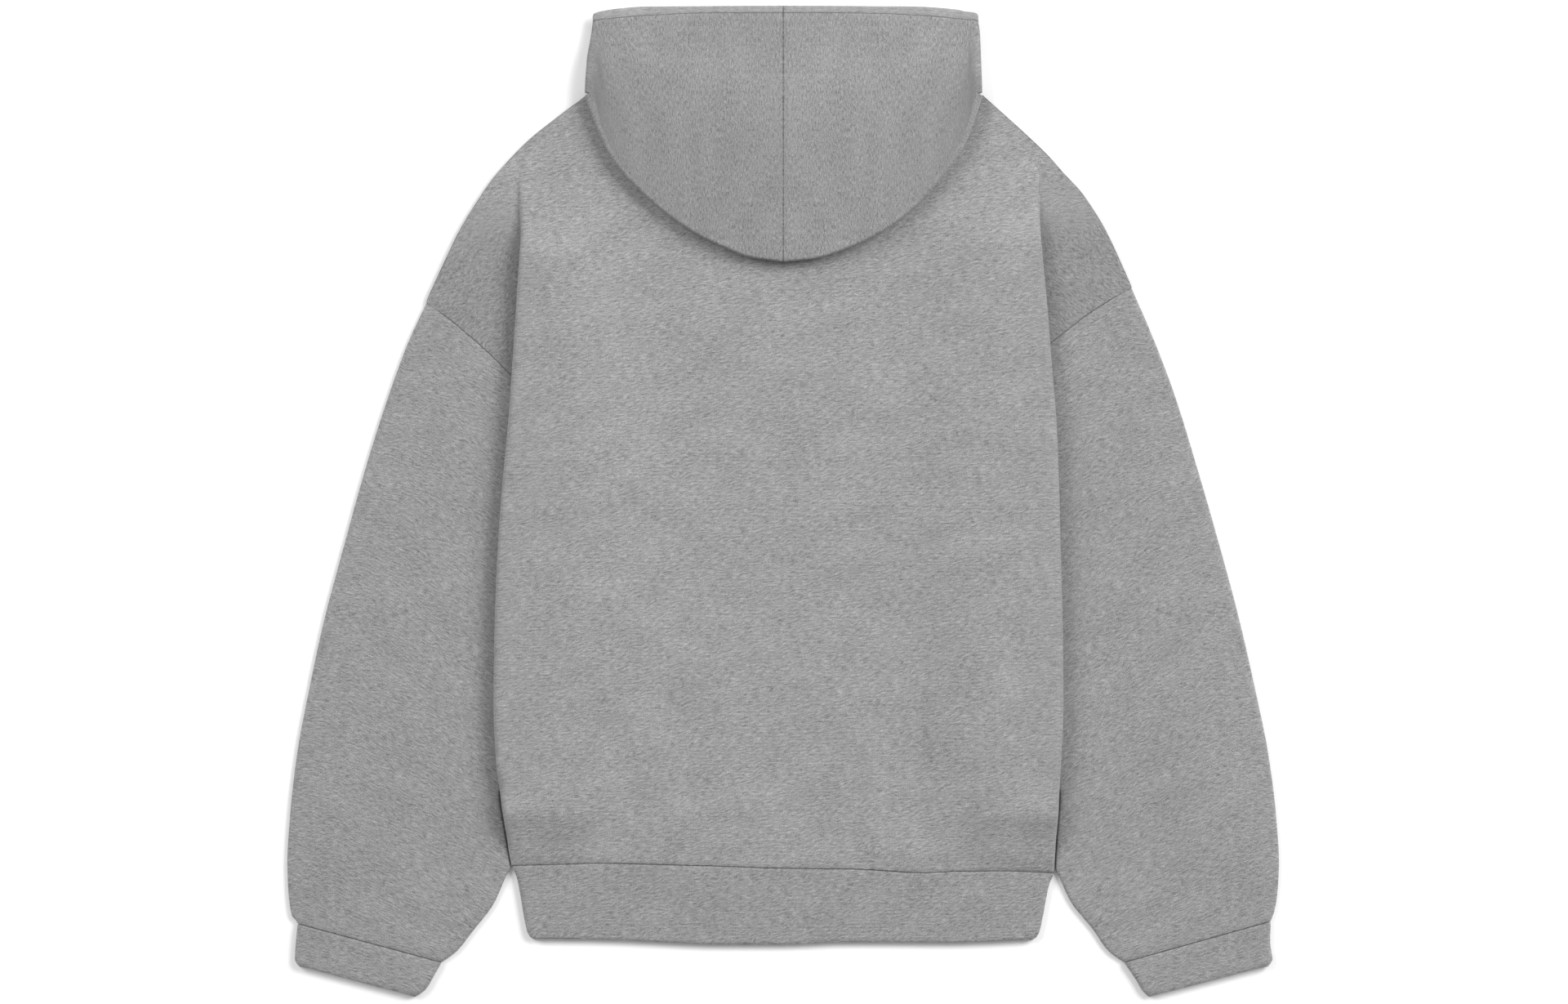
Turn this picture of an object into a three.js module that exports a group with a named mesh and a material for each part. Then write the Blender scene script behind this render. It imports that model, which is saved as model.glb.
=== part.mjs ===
// A pullover hoodie lying flat, face down, with its back up and its hood laid down on the back.
// Millimetres. X is across the garment, Y runs up to the hood's face opening, Z is up from the surface
// it lies on, and the centre seam of the hood is at x = 0. "out" is a distance from the centre line.
import * as THREE from "three";

// Driving sizes
const CLOTH = 2; // wall of the back, the front and the sleeves
const DOUBLED = 3; // wall of the hood, the hem band and the cuffs, which are doubled cloth
const PITCH = 2.4; // from the middle of one cloth to the middle of the next one lying on it
const SEAM_GAP = 0.3;
const HALF_SEAM = 0.25; // each hood half stops this far from the centre line
const EDGE_GAP = 0.45; // between two edges that run side by side along a curve
const HEM_GAP = 0.6; // between the panels and the thicker hem band
const SOFTEST_TURN = 1.5; // a turn smaller than this, in radians, is spread over as much cloth
const SIDE_FOLD_RADIUS = 3.05; // of the middle between back and front, where the sides turn under
const HOOD_FOLD_RADIUS = 3.4;
const SLEEVE_CROWN = { height: 2.4, width: 0.62 }; // how a sleeve stands up outside the body
const BOW_RINGS = 3; // the armhole's curve dies out over this many rings of the sleeve

// The back stands a little higher where it lies over the hood's front: above lowUp, and inside out
const NECK_LIFT = { height: 1, lowUp: 190, rampUp: 60, out: 215, rampOut: 40 };

// Heights of the middle of each layer
const FLOOR_PAIR = CLOTH / 2 + PITCH / 2; // between front and back where both lie on the surface
const FLOOR_DOUBLED = DOUBLED / 2;
const HOOD_UNDER = 7.3; // hood cloth lying on the back panel
const HOOD_TOP = HOOD_UNDER + 2 * HOOD_FOLD_RADIUS;
const HOOD_TOP_AT_RIM = FLOOR_DOUBLED + 2 * HOOD_FOLD_RADIUS;

// Rows of numbers as objects with named columns
function table(names, rows) {
  return rows.map((row) => Object.fromEntries(names.map((name, i) => [name, row[i]])));
}

// The body in sections from the neck to the hem. edge: the shoulder's outline, then the armhole seam, and
// nothing where the side seam is inside the tuck. fold: where the body's side is seen to turn under.
// turn: how far the side turns under, in degrees. tuck: how far it runs in under itself.
const SECTION = ["up", "edge", "fold", "turn", "tuck"];
const BODY_SIDES = {
  left: table(SECTION, [
    [341.6, 166.3, 155, 0, 0],
    [323.6, 190.4, 177, 0, 0],
    [305, 213.9, 200, 0, 0],
    [287, 231.8, 216, 5, 0],
    [271.9, 245, 222.8, 18, 0],
    [256, 256.1, 222.4, 40, 0],
    [240.1, 266.3, 221.8, 72, 0],
    [224.3, 275.3, 221.4, 112, 1],
    [208.5, 282.9, 222.1, 150, 3],
    [187.7, 292.6, 223.7, 176, 9],
    [172.5, 299.4, 224.7, 180, 13],
    [168.4, 300.8, 224.9, 180, 14],
    [158.7, 287.7, 225.6, 180, 17],
    [140.8, 265.7, 226.8, 180, 22],
    [122.1, 245, 228, 180, 27],
    [104.9, 227.7, 229.2, 180, 31],
    [78.7, 207.7, 231, 180, 38],
    [47.6, 193.2, 233.6, 180, 44],
    [13.1, 185.9, 237, 180, 49],
    [-45.5, 0, 241, 180, 49],
    [-107.6, 0, 243.4, 180, 45],
    [-169.7, 0, 244.3, 180, 36],
    [-221.5, 0, 241.9, 180, 21],
    [-245, 0, 238.7, 180, 12],
    [-262, 0, 236.2, 148, 5],
    [-276, 0, 234.2, 112, 2],
    [-288, 0, 232.6, 74, 1],
    [-298, 0, 231, 36, 1],
    [-307, 0, 229.2, 0, 0],
  ]),
  right: table(SECTION, [
    [341.6, 168.6, 155, 0, 0],
    [324.8, 187.5, 174, 0, 0],
    [307.7, 206.5, 192, 0, 0],
    [291.2, 223.7, 208, 5, 0],
    [276.7, 236.6, 215.6, 18, 0],
    [262.2, 250.3, 215.8, 40, 0],
    [247.7, 260.6, 216.2, 72, 0],
    [233.2, 269.6, 216.9, 112, 1],
    [218, 277.4, 217.7, 150, 3],
    [200.8, 285.3, 219.3, 176, 8],
    [185, 292.3, 220.9, 180, 11],
    [180.8, 293.9, 221.3, 180, 12],
    [173, 280.3, 222, 180, 14],
    [157.3, 255.9, 223.4, 180, 18],
    [144.7, 239.5, 224.4, 180, 21],
    [130.5, 222, 225.4, 180, 24],
    [104, 200.4, 227.5, 180, 31],
    [66, 187.4, 230.6, 180, 42],
    [22, 183.4, 232.4, 180, 46.5],
    [-45.5, 0, 234.2, 180, 47],
    [-107.6, 0, 235.8, 180, 43],
    [-169.7, 0, 236.4, 180, 34],
    [-221.5, 0, 234.3, 180, 20],
    [-245, 0, 232.8, 180, 12],
    [-262, 0, 231.8, 148, 5],
    [-276, 0, 230.7, 112, 2],
    [-288, 0, 229.9, 74, 1],
    [-299, 0, 229.1, 36, 1],
    [-309, 0, 228.4, 0, 0],
  ]),
};
const TIP_ROW = 11; // the shoulder's tip, where the outline ends and the armhole seam begins
const ARMPIT_ROW = 18;
const ARMPIT = { out: -2.2, up: -14 }; // from the wing's last section to the sleeve's underarm point

// Necklines, hem seam and the hem band's lower edge
const NECK = { out: 160, back: 320.2, front: 252.6, side: 342.6, curve: 1.7, reach: 196 };
const HEM_SEAM = table(["across", "up"], [
  [-229, -307], [-153, -305], [-68, -307], [-20, -309], [60, -310], [118, -313], [170, -311], [229, -313],
]);
const HEM_REACH = -215; // the rows below this follow the hem seam's waves
const BAND_EDGE = table(["across", "up"], [
  [-215, -368.4], [-150, -369.2], [-100, -371.6], [-60, -373.3], [0, -373.3], [60, -371.2], [140, -371.9],
  [190, -370.5], [215, -368.4],
]);
const BAND_SIDES = table(["share", "out"], [
  [0, 229], [0.15, 225], [0.35, 222.5], [0.7, 218.9], [0.91, 216.1], [0.967, 214.2], [1, 210],
]);

// A sleeve's outer and inner edge, ring by ring, from the armhole seam to the cuff seam
const RING = ["outerOut", "outerUp", "innerOut", "innerUp"];
const SLEEVES = {
  left: table(RING, [
    [317, 133, 183.2, -28],
    [336.7, 78.7, 183.6, -62],
    [354, 23.5, 186.5, -104],
    [371.2, -38.6, 192.5, -145],
    [387.8, -100.7, 201, -184],
    [400.6, -160, 217, -219],
    [410, -210, 239.2, -248],
    [416.2, -262, 233.7, -284],
    [418.8, -305, 230.2, -309.4],
    [418.7, -309, 232.8, -313.8],
    [417.8, -330, 244.3, -339],
    [414.8, -349.4, 263, -363.5],
    [411.9, -352.3, 275.5, -379.2],
  ]),
  right: table(RING, [
    [308.5, 147, 182, -22],
    [329.6, 92.5, 184, -58],
    [348.5, 32, 187.5, -101],
    [367, -32, 193.5, -143],
    [384, -95, 201, -183],
    [398.5, -158, 214, -219],
    [409.5, -212, 233.4, -248],
    [416, -262, 230.9, -284],
    [418.8, -305, 229.6, -309.4],
    [418.7, -309, 231.8, -313.8],
    [417.5, -330, 242.5, -337],
    [415, -345, 262, -361.5],
    [413.3, -350, 274.7, -379.3],
  ]),
};
const CUFF_SEAM = {
  left: { outerOut: 409.9, outerUp: -356, innerOut: 288.6, innerUp: -388.6 },
  right: { outerOut: 411.6, outerUp: -354, innerOut: 288, innerUp: -388.6 },
};
const CUFFS = {
  left: table(RING, [
    [411.2, -368, 295, -400.5],
    [412.4, -386, 302.3, -412],
    [408.5, -391.5, 310.5, -417.3],
  ]),
  right: table(RING, [
    [411.2, -372, 297.5, -403],
    [413.3, -386, 303.6, -413],
    [409.2, -391.3, 308.6, -417.4],
  ]),
};
const ACROSS = [0, 0.09, 0.21, 0.35, 0.5, 0.65, 0.79, 0.91, 1]; // share of the way from edge to edge

// The hood. HOOD_FOLD is the round lower fold that lies on the back, from the centre to the side.
const HOOD_FOLD = {
  left: table(["out", "up"], [
    [0.25, 201.8], [29, 206], [49.5, 214], [74.8, 226.2], [97.8, 242], [120.9, 262],
    [144.2, 288.4], [156, 312], [164.5, 336],
  ]),
  right: table(["out", "up"], [
    [0.25, 201.8], [27, 204.7], [50.1, 211.8], [84.9, 228.1], [112.9, 249.9], [136.3, 276.1],
    [152.5, 299.4], [161, 319.5], [166.5, 337],
  ]),
};
const HOOD_SIDE = {
  left: table(["up", "out"], [[344.3, 167.4], [354.7, 167], [375.4, 165.6], [396.1, 162.2], [407, 160.8]]),
  right: table(["up", "out"], [[344.3, 168], [354.7, 167.7], [375.4, 167], [396.1, 166.3], [407, 164.9]]),
};
const RIM_EDGE = table(["out", "up"], [[0, 418.1], [115, 417.4], [143.2, 415.4], [156.5, 412.6]]);
const RIM_SEAM = table(["out", "up"], [[0, 412], [70, 412], [110, 410.2], [129, 408.8], [156.5, 406.2]]);
const SIDE_DROP = { edge: 8, seam: 6, hood: 8.3, neck: -0.8 }; // how far each comes down as it turns under
const HOOD_FRONT = { edge: 282.2, seam: 276.7, neck: NECK.front }; // up, where the halves meet in front
const HOOD_NECK_UP = 344.3; // where the hood's side fold ends at the neck
const HOOD_SAG = { length: 45, neckClear: 5, edgeSlope: 0.77, depth: 0.45 }; // the cloth between the folds
const HOOD_CROWN = { height: 5, atRim: 0.25 }; // how the hood stands up along its middle
const HOOD_RISE = { up: 404, length: 50 }; // the side folds grow thicker from the rim down to the neck
const HOOD_CORNER = { awayOut: 0.86, awayUp: -0.5, endOut: -1.5, endUp: 0.8 }; // the lower fold's outer end
const NECK_TURN = HOOD_FOLD_RADIUS * HOOD_CORNER.awayOut; // how far out the side fold reaches at the neck
const HOOD_UNDER_SPREAD = 0.98; // the under layer's width at the neck, as a share of its width at the fold

const GREY = { body: 0x9f9f9f, sleeve: 0x969696, hood: 0x999999, band: 0x989898, rim: 0xa2a2a2 };

function between(a, b, share) {
  return a + (b - a) * share;
}

function smooth(share) {
  const s = Math.min(1, Math.max(0, share));
  return s * s * (3 - 2 * s);
}

// The value of one column where another column has the given value, in straight lines between the rows
function read(rows, key, value, wanted) {
  const ordered = rows[0][key] < rows[rows.length - 1][key] ? rows : [...rows].reverse();
  const next = ordered.findIndex((row) => row[key] >= value);
  if (next < 0) return ordered[ordered.length - 1][wanted];
  if (next === 0) return ordered[0][wanted];
  const a = ordered[next - 1];
  const b = ordered[next];
  return between(a[wanted], b[wanted], (value - a[key]) / (b[key] - a[key]));
}

function sinc(angle) {
  return angle === 0 ? 1 : Math.sin(angle) / angle;
}

// A closed wall around a grid of points on its middle surface. present says which cells are cloth,
// and round joins the last column to the first.
function wall(name, grid, { thickness, colour, present = () => true, round = false }) {
  const rows = grid.length;
  const columns = grid[0].length;
  const cellColumns = round ? columns : columns - 1;
  const isCloth = (i, j) => {
    const column = round ? (j + columns) % columns : j;
    return i >= 0 && i < rows - 1 && column >= 0 && column < cellColumns && present(i, column);
  };
  const normals = grid.map((row) => row.map(() => new THREE.Vector3()));
  const cells = [];
  for (let i = 0; i < rows - 1; i += 1) {
    for (let j = 0; j < cellColumns; j += 1) {
      if (isCloth(i, j)) cells.push([i, j, (j + 1) % columns]);
    }
  }
  for (const [i, j, next] of cells) {
    const down = grid[i + 1][next].clone().sub(grid[i][j]);
    const across = grid[i][next].clone().sub(grid[i + 1][j]);
    const normal = down.cross(across).normalize();
    for (const corner of [normals[i][j], normals[i + 1][j], normals[i][next], normals[i + 1][next]]) {
      corner.add(normal);
    }
  }
  const positions = [];
  const index = new Map();
  const vertex = (i, j, side) => {
    const key = `${i},${j},${side}`;
    if (!index.has(key)) {
      index.set(key, positions.length / 3);
      const offset = normals[i][j].clone().normalize().multiplyScalar((side * thickness) / 2);
      positions.push(...grid[i][j].clone().add(offset).toArray());
    }
    return index.get(key);
  };
  const faces = [];
  for (const [i, j, next] of cells) {
    const corners = [[i, j], [i + 1, j], [i + 1, next], [i, next]];
    const open = [!isCloth(i, j - 1), !isCloth(i + 1, j), !isCloth(i, j + 1), !isCloth(i - 1, j)];
    const [a, b, c, d] = corners.map(([row, column]) => vertex(row, column, 1));
    const [e, f, g, h] = corners.map(([row, column]) => vertex(row, column, -1));
    faces.push(a, b, d, b, c, d, e, h, f, f, h, g);
    const tops = [a, b, c, d];
    const bottoms = [e, f, g, h];
    open.forEach((isOpen, side) => {
      const after = (side + 1) % 4;
      if (isOpen) {
        faces.push(tops[after], tops[side], bottoms[side], tops[after], bottoms[side], bottoms[after]);
      }
    });
  }
  const geometry = new THREE.BufferGeometry();
  geometry.setAttribute("position", new THREE.Float32BufferAttribute(positions, 3));
  geometry.setIndex(faces);
  geometry.computeVertexNormals();
  const material = new THREE.MeshStandardMaterial({ color: colour, roughness: 0.95, metalness: 0 });
  const mesh = new THREE.Mesh(geometry, material);
  mesh.name = name;
  return mesh;
}

// One side of a body section: front and back lie together, so their shared middle is followed from the
// centre line out, under at the fold, in along the tuck, and out again as the shoulder wing.
const RAMP = { length: 100, clear: 10, least: 1 }; // the body comes down to the surface inside the tuck
const RAMP_SHARES = [0, 0.33, 0.67, 1];
const FOLD_STEPS = 4;
const WING_STEPS = 2;
const LEAST_TUCK = 0.5;
const TUCK_COLUMN = RAMP_SHARES.length + 3 + FOLD_STEPS; // the last column before the second turn

function bodySection(row) {
  const turn = THREE.MathUtils.degToRad(row.turn);
  const proud = PITCH / 2 + CLOTH / 2;
  const path = [{ out: 0, drop: 0, heading: 0 }];
  const step = (length, heading) => {
    const last = path[path.length - 1];
    const middle = (last.heading + heading) / 2;
    const chord = length * sinc((heading - last.heading) / 2);
    const out = last.out + chord * Math.cos(middle);
    path.push({ out, drop: last.drop + chord * Math.sin(middle), heading });
  };
  const turnStep = (Math.max(turn, SOFTEST_TURN) * SIDE_FOLD_RADIUS) / FOLD_STEPS;
  for (let i = 1; i <= FOLD_STEPS; i += 1) step(turnStep, (turn * i) / FOLD_STEPS);
  step(Math.max(row.tuck, LEAST_TUCK), turn);
  const reach = Math.max(...path.map((p) => p.out + proud * Math.sin(p.heading)));
  for (let i = 1; i <= FOLD_STEPS; i += 1) step(turnStep, turn * (1 - i / FOLD_STEPS));
  const start = row.fold - reach;
  const lift = path[path.length - 1].drop;
  const tuckEnd = start + path[FOLD_STEPS + 1].out;
  const high = Math.min(tuckEnd - RAMP.clear, start - RAMP.least);
  const low = high - RAMP.length;
  const points = [0, low / 2].map((out) => ({ out, up: FLOOR_PAIR, heading: 0 }));
  for (const share of RAMP_SHARES) {
    points.push({ out: between(low, high, share), up: FLOOR_PAIR + lift * smooth(share), heading: 0 });
  }
  for (const p of path) {
    points.push({ out: start + p.out, up: FLOOR_PAIR + lift - p.drop, heading: p.heading });
  }
  const last = points[points.length - 1].out;
  for (let i = 1; i <= WING_STEPS; i += 1) {
    points.push({ out: between(last, row.edge, i / WING_STEPS), up: FLOOR_PAIR, heading: 0 });
  }
  return points;
}

// The front's neckline and the hood's front edge beside it share these places, so they stay parallel
const NECK_SECTION = bodySection(BODY_SIDES.left[0]).slice(0, RAMP_SHARES.length + 2);
const NECK_COLUMNS = NECK_SECTION.map((p) => p.out).reverse();

function backNeck(out) {
  return between(NECK.back, NECK.side, Math.min(1, out / NECK.out) ** 2);
}

function frontNeck(out) {
  return between(NECK.front, NECK.side, Math.min(1, out / NECK.out) ** NECK.curve);
}

// The body's grid of middle points for the cloth that lies "above" the shared middle by the given amount
function bodyGrid(above, neckUp, neckLift) {
  const half = (side) => {
    const sections = BODY_SIDES[side].map(bodySection);
    const sign = side === "left" ? -1 : 1;
    const topOuts = sections[0].map((p) => p.out);
    const hemOuts = sections[sections.length - 1].map((p) => p.out);
    return sections.map((section, k) =>
      section.map((p, column) => {
        const rowUp = BODY_SIDES[side][k].up;
        const meanUp = (BODY_SIDES.left[k].up + BODY_SIDES.right[k].up) / 2;
        const share = column >= RAMP_SHARES.length + 1 ? 1 : column / (RAMP_SHARES.length + 1);
        const top = neckUp(topOuts[column]);
        const hem = read(HEM_SEAM, "across", sign * hemOuts[column], "up");
        const y = fitUp(between(meanUp, rowUp, share), side, top, hem, share);
        const nearNeck = smooth((y - NECK_LIFT.lowUp) / NECK_LIFT.rampUp);
        const lift = neckLift * nearNeck * smooth((NECK_LIFT.out - p.out) / NECK_LIFT.rampOut);
        return new THREE.Vector3(
          sign * (p.out + above * Math.sin(p.heading)),
          y,
          p.up + above * Math.cos(p.heading) + lift,
        );
      }),
    );
  };
  const left = half("left");
  const right = half("right");
  return left.map((row, k) => [...row.slice(1).reverse(), ...right[k]]);
}

// Moves a row's height so that the first row lies on the neckline and the last one on the hem seam
function fitUp(up, side, top, hem, share) {
  const rows = BODY_SIDES[side];
  const last = rows.length - 1;
  const firstUp = between((BODY_SIDES.left[0].up + BODY_SIDES.right[0].up) / 2, rows[0].up, share);
  const lastUp = between((BODY_SIDES.left[last].up + BODY_SIDES.right[last].up) / 2, rows[last].up, share);
  if (up > NECK.reach) return between(NECK.reach, top, (up - NECK.reach) / (firstUp - NECK.reach));
  if (up < HEM_REACH) return between(HEM_REACH, hem, (up - HEM_REACH) / (lastUp - HEM_REACH));
  return up;
}

// Below the armpit the side seam ends the cloth inside the tuck, so there is no wing
function bodyCell(i, j) {
  const columns = 2 * (TUCK_COLUMN + FOLD_STEPS + WING_STEPS);
  const fromEdge = Math.min(j, columns - 1 - j);
  return i < ARMPIT_ROW || fromEdge >= FOLD_STEPS + WING_STEPS;
}

function bodyPanel(name, above, neckUp, neckLift) {
  const grid = bodyGrid(above, neckUp, neckLift);
  return wall(name, grid, { thickness: CLOTH, colour: GREY.body, present: bodyCell });
}

// A ring of a flattened tube: over the top from the outer edge to the inner one, and back underneath
function flatRing(line, sign, thickness, crown) {
  const under = thickness / 2;
  const radius = (thickness + PITCH - CLOTH) / 2;
  const bulge = (from, to) => from.clone().sub(to).setLength(radius);
  const first = line[0];
  const last = line[line.length - 1];
  const top = line.map((p, i) => new THREE.Vector3(p.x, p.y, under + 2 * radius + crown(i)));
  const bottom = line.map((p) => new THREE.Vector3(p.x, p.y, under)).reverse();
  const outer = first.clone().add(bulge(first, line[1])).setZ(under + radius);
  const inner = last.clone().add(bulge(last, line[line.length - 2])).setZ(under + radius);
  const ring = [...top, inner, ...bottom, outer];
  return sign < 0 ? ring : ring.reverse();
}

// Points from the outer to the inner edge of a tube, set in by the wall and its rounded edge
function ringLine(row, sign, thickness) {
  const inset = thickness / 2 + (thickness + PITCH - CLOTH) / 2;
  const outer = new THREE.Vector3(sign * row.outerOut, row.outerUp, 0);
  const inner = new THREE.Vector3(sign * row.innerOut, row.innerUp, 0);
  const along = inner.clone().sub(outer).setLength(inset);
  outer.add(along);
  inner.sub(along);
  return ACROSS.map((share) => outer.clone().lerp(inner, share));
}

// The armhole seam on the wing's edge, from the shoulder's tip to the armpit, just off the wing
function armholeLine(side, sign) {
  const rows = BODY_SIDES[side].slice(TIP_ROW, ARMPIT_ROW + 1);
  const seam = rows.map((row) => new THREE.Vector3(sign * row.edge, row.up, 0));
  const lowest = rows[rows.length - 1];
  seam.push(new THREE.Vector3(sign * (lowest.edge + ARMPIT.out), lowest.up + ARMPIT.up, 0));
  return seam.map((p, i) => {
    const before = seam[Math.max(0, i - 1)];
    const after = seam[Math.min(seam.length - 1, i + 1)];
    const along = after.clone().sub(before).normalize();
    const away = new THREE.Vector3(-along.y, along.x, 0).multiplyScalar(sign * EDGE_GAP);
    const end = i === 0 ? along.clone().multiplyScalar(CLOTH / 2 + PITCH / 2) : new THREE.Vector3();
    return p.clone().add(away).add(end);
  });
}

function sleeve(side) {
  const sign = side === "left" ? -1 : 1;
  const rows = [...SLEEVES[side], CUFF_SEAM[side]];
  const lines = [armholeLine(side, sign), ...rows.map((row) => ringLine(row, sign, CLOTH))];
  const blended = lines.map((line, i) => {
    const bow = Math.max(0, 1 - i / BOW_RINGS);
    if (i === 0 || bow === 0) return line;
    const first = lines[0];
    const straight = ACROSS.map((share) => first[0].clone().lerp(first[first.length - 1], share));
    return line.map((p, j) => p.clone().add(first[j].clone().sub(straight[j]).multiplyScalar(bow * bow)));
  });
  const last = blended.length - 1;
  const grid = blended.map((line, i) => {
    const swell = SLEEVE_CROWN.height * Math.sin((Math.PI * i) / last) ** 2;
    const crown = (j) => swell * Math.sin(Math.PI * Math.min(1, ACROSS[j] / SLEEVE_CROWN.width));
    return flatRing(line, sign, CLOTH, crown);
  });
  return wall(`sleeve_${side}`, grid, { thickness: CLOTH, colour: GREY.sleeve, round: true });
}

function cuff(side) {
  const sign = side === "left" ? -1 : 1;
  const seam = CUFF_SEAM[side];
  const start = { ...seam, outerUp: seam.outerUp - 2 * SEAM_GAP, innerUp: seam.innerUp - 2 * SEAM_GAP };
  const lines = [start, ...CUFFS[side]].map((row) => ringLine(row, sign, DOUBLED));
  const grid = lines.map((line) => flatRing(line, sign, DOUBLED, () => 0));
  return wall(`cuff_${side}`, grid, { thickness: DOUBLED, colour: GREY.band, round: true });
}

function hemBand() {
  const shares = (side) => {
    const rows = BODY_SIDES[side];
    const hem = bodySection(rows[rows.length - 1]).slice(0, RAMP_SHARES.length + 2);
    return hem.map((p) => p.out / BAND_SIDES[0].out);
  };
  const inset = DOUBLED / 2 + (DOUBLED + PITCH - CLOTH) / 2;
  const across = [-1, ...shares("left").reverse().map((s) => -s), ...shares("right").slice(1), 1];
  const grid = BAND_SIDES.map((row) => {
    const line = across.map((share) => {
      const x = share * (Math.abs(share) === 1 ? row.out - inset : row.out);
      const top = read(HEM_SEAM, "across", share * BAND_SIDES[0].out, "up") - HEM_GAP;
      const low = read(BAND_EDGE, "across", x, "up");
      return new THREE.Vector3(x, between(top, low, row.share), 0);
    });
    return flatRing(line, -1, DOUBLED, () => 0);
  });
  return wall("hem_band", grid, { thickness: DOUBLED, colour: GREY.band, round: true });
}

// The hood's top layer, its turn under at the round lower fold, and its turn under at the side
const HOOD_ROWS = 6;
const HOOD_UNDER_STEPS = 3;
const HOOD_TURN_STEPS = 4;

function frontEdge(out) {
  const corner = RIM_EDGE[RIM_EDGE.length - 1];
  return between(HOOD_FRONT.edge, corner.up, out / corner.out);
}

// Height of the middle of the hood's top layer: lower between the folds at the face opening, and up over
// the neck and the hood's own under layer
function hoodHeight(out, up) {
  const full = between(HOOD_TOP_AT_RIM, HOOD_TOP, smooth((HOOD_RISE.up - up) / HOOD_RISE.length));
  const pastEdge = (frontEdge(out) - up) * HOOD_SAG.edgeSlope;
  const overFront = smooth(1 + pastEdge / HOOD_SAG.length);
  const overNeck = smooth((backNeck(out) + HOOD_SAG.length + HOOD_SAG.neckClear - up) / HOOD_SAG.length);
  const share = 1 - HOOD_SAG.depth * (1 - overFront) * (1 - overNeck);
  return FLOOR_DOUBLED + (full - FLOOR_DOUBLED) * share;
}

// How far out the side fold reaches. toNeck is the share of the way from the rim to the neck.
function sideReach(up, out, toNeck) {
  return between((hoodHeight(out, up) - FLOOR_DOUBLED) / 2, NECK_TURN, toNeck);
}

// Where the top layer starts to turn at the side, set in from the outline by the fold and the wall
function sideStart(side, up, toNeck) {
  const out = read(HOOD_SIDE[side], "up", up, "out");
  return out - sideReach(up, out, toNeck) - DOUBLED / 2;
}

// One line of the hood from the centre out, round the side fold, and in along the surface to the front.
// drop is how far it comes down as it turns under.
function hoodLine({ plan, frontUp, curve = 1, toNeck = 0, drop }) {
  const side = plan[plan.length - 1];
  const along = Math.sin(Math.PI * between(HOOD_CROWN.atRim, 1, toNeck));
  const points = plan.map(({ out, up }) => {
    const crown = HOOD_CROWN.height * along * (1 - (out / side.out) ** 2);
    return new THREE.Vector3(out, up, hoodHeight(out, up) + crown);
  });
  const radius = (hoodHeight(side.out, side.up) - FLOOR_DOUBLED) / 2;
  const reach = sideReach(side.up, side.out, toNeck);
  for (let i = 1; i <= HOOD_TURN_STEPS; i += 1) {
    const angle = Math.PI * (0.5 - i / HOOD_TURN_STEPS);
    const z = FLOOR_DOUBLED + radius + radius * Math.sin(angle);
    const y = side.up - (drop * (1 - Math.sin(angle))) / 2;
    points.push(new THREE.Vector3(side.out + reach * Math.cos(angle), y, z));
  }
  const width = between(side.out, NECK.out, toNeck);
  for (const out of NECK_COLUMNS) {
    const up = between(frontUp, side.up - drop, (out / width) ** curve);
    points.push(new THREE.Vector3(Math.max(out, HALF_SEAM), up, FLOOR_DOUBLED));
  }
  return points;
}

// The rim's edge or its seam, from the centre to the side, moved down by a gap
function rimLine(side, rows, gap) {
  const fold = HOOD_FOLD[side];
  const reach = sideStart(side, rows[rows.length - 1].up - gap, 0);
  const last = fold[fold.length - 1].out;
  return fold.map((p) => {
    const out = Math.max(HALF_SEAM, (reach * p.out) / last);
    return { out, up: read(rows, "out", out, "up") - gap };
  });
}

function hoodFoldStarts(fold) {
  return fold.map((p, i) => {
    const before = fold[Math.max(0, i - 1)];
    const after = fold[Math.min(fold.length - 1, i + 1)];
    const away = new THREE.Vector3(after.up - before.up, before.out - after.out, 0).normalize();
    if (i === 0) away.set(0, -1, 0);
    const inset = HOOD_FOLD_RADIUS + DOUBLED / 2;
    return { out: p.out - away.x * inset, up: p.up - away.y * inset, away };
  });
}

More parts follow.
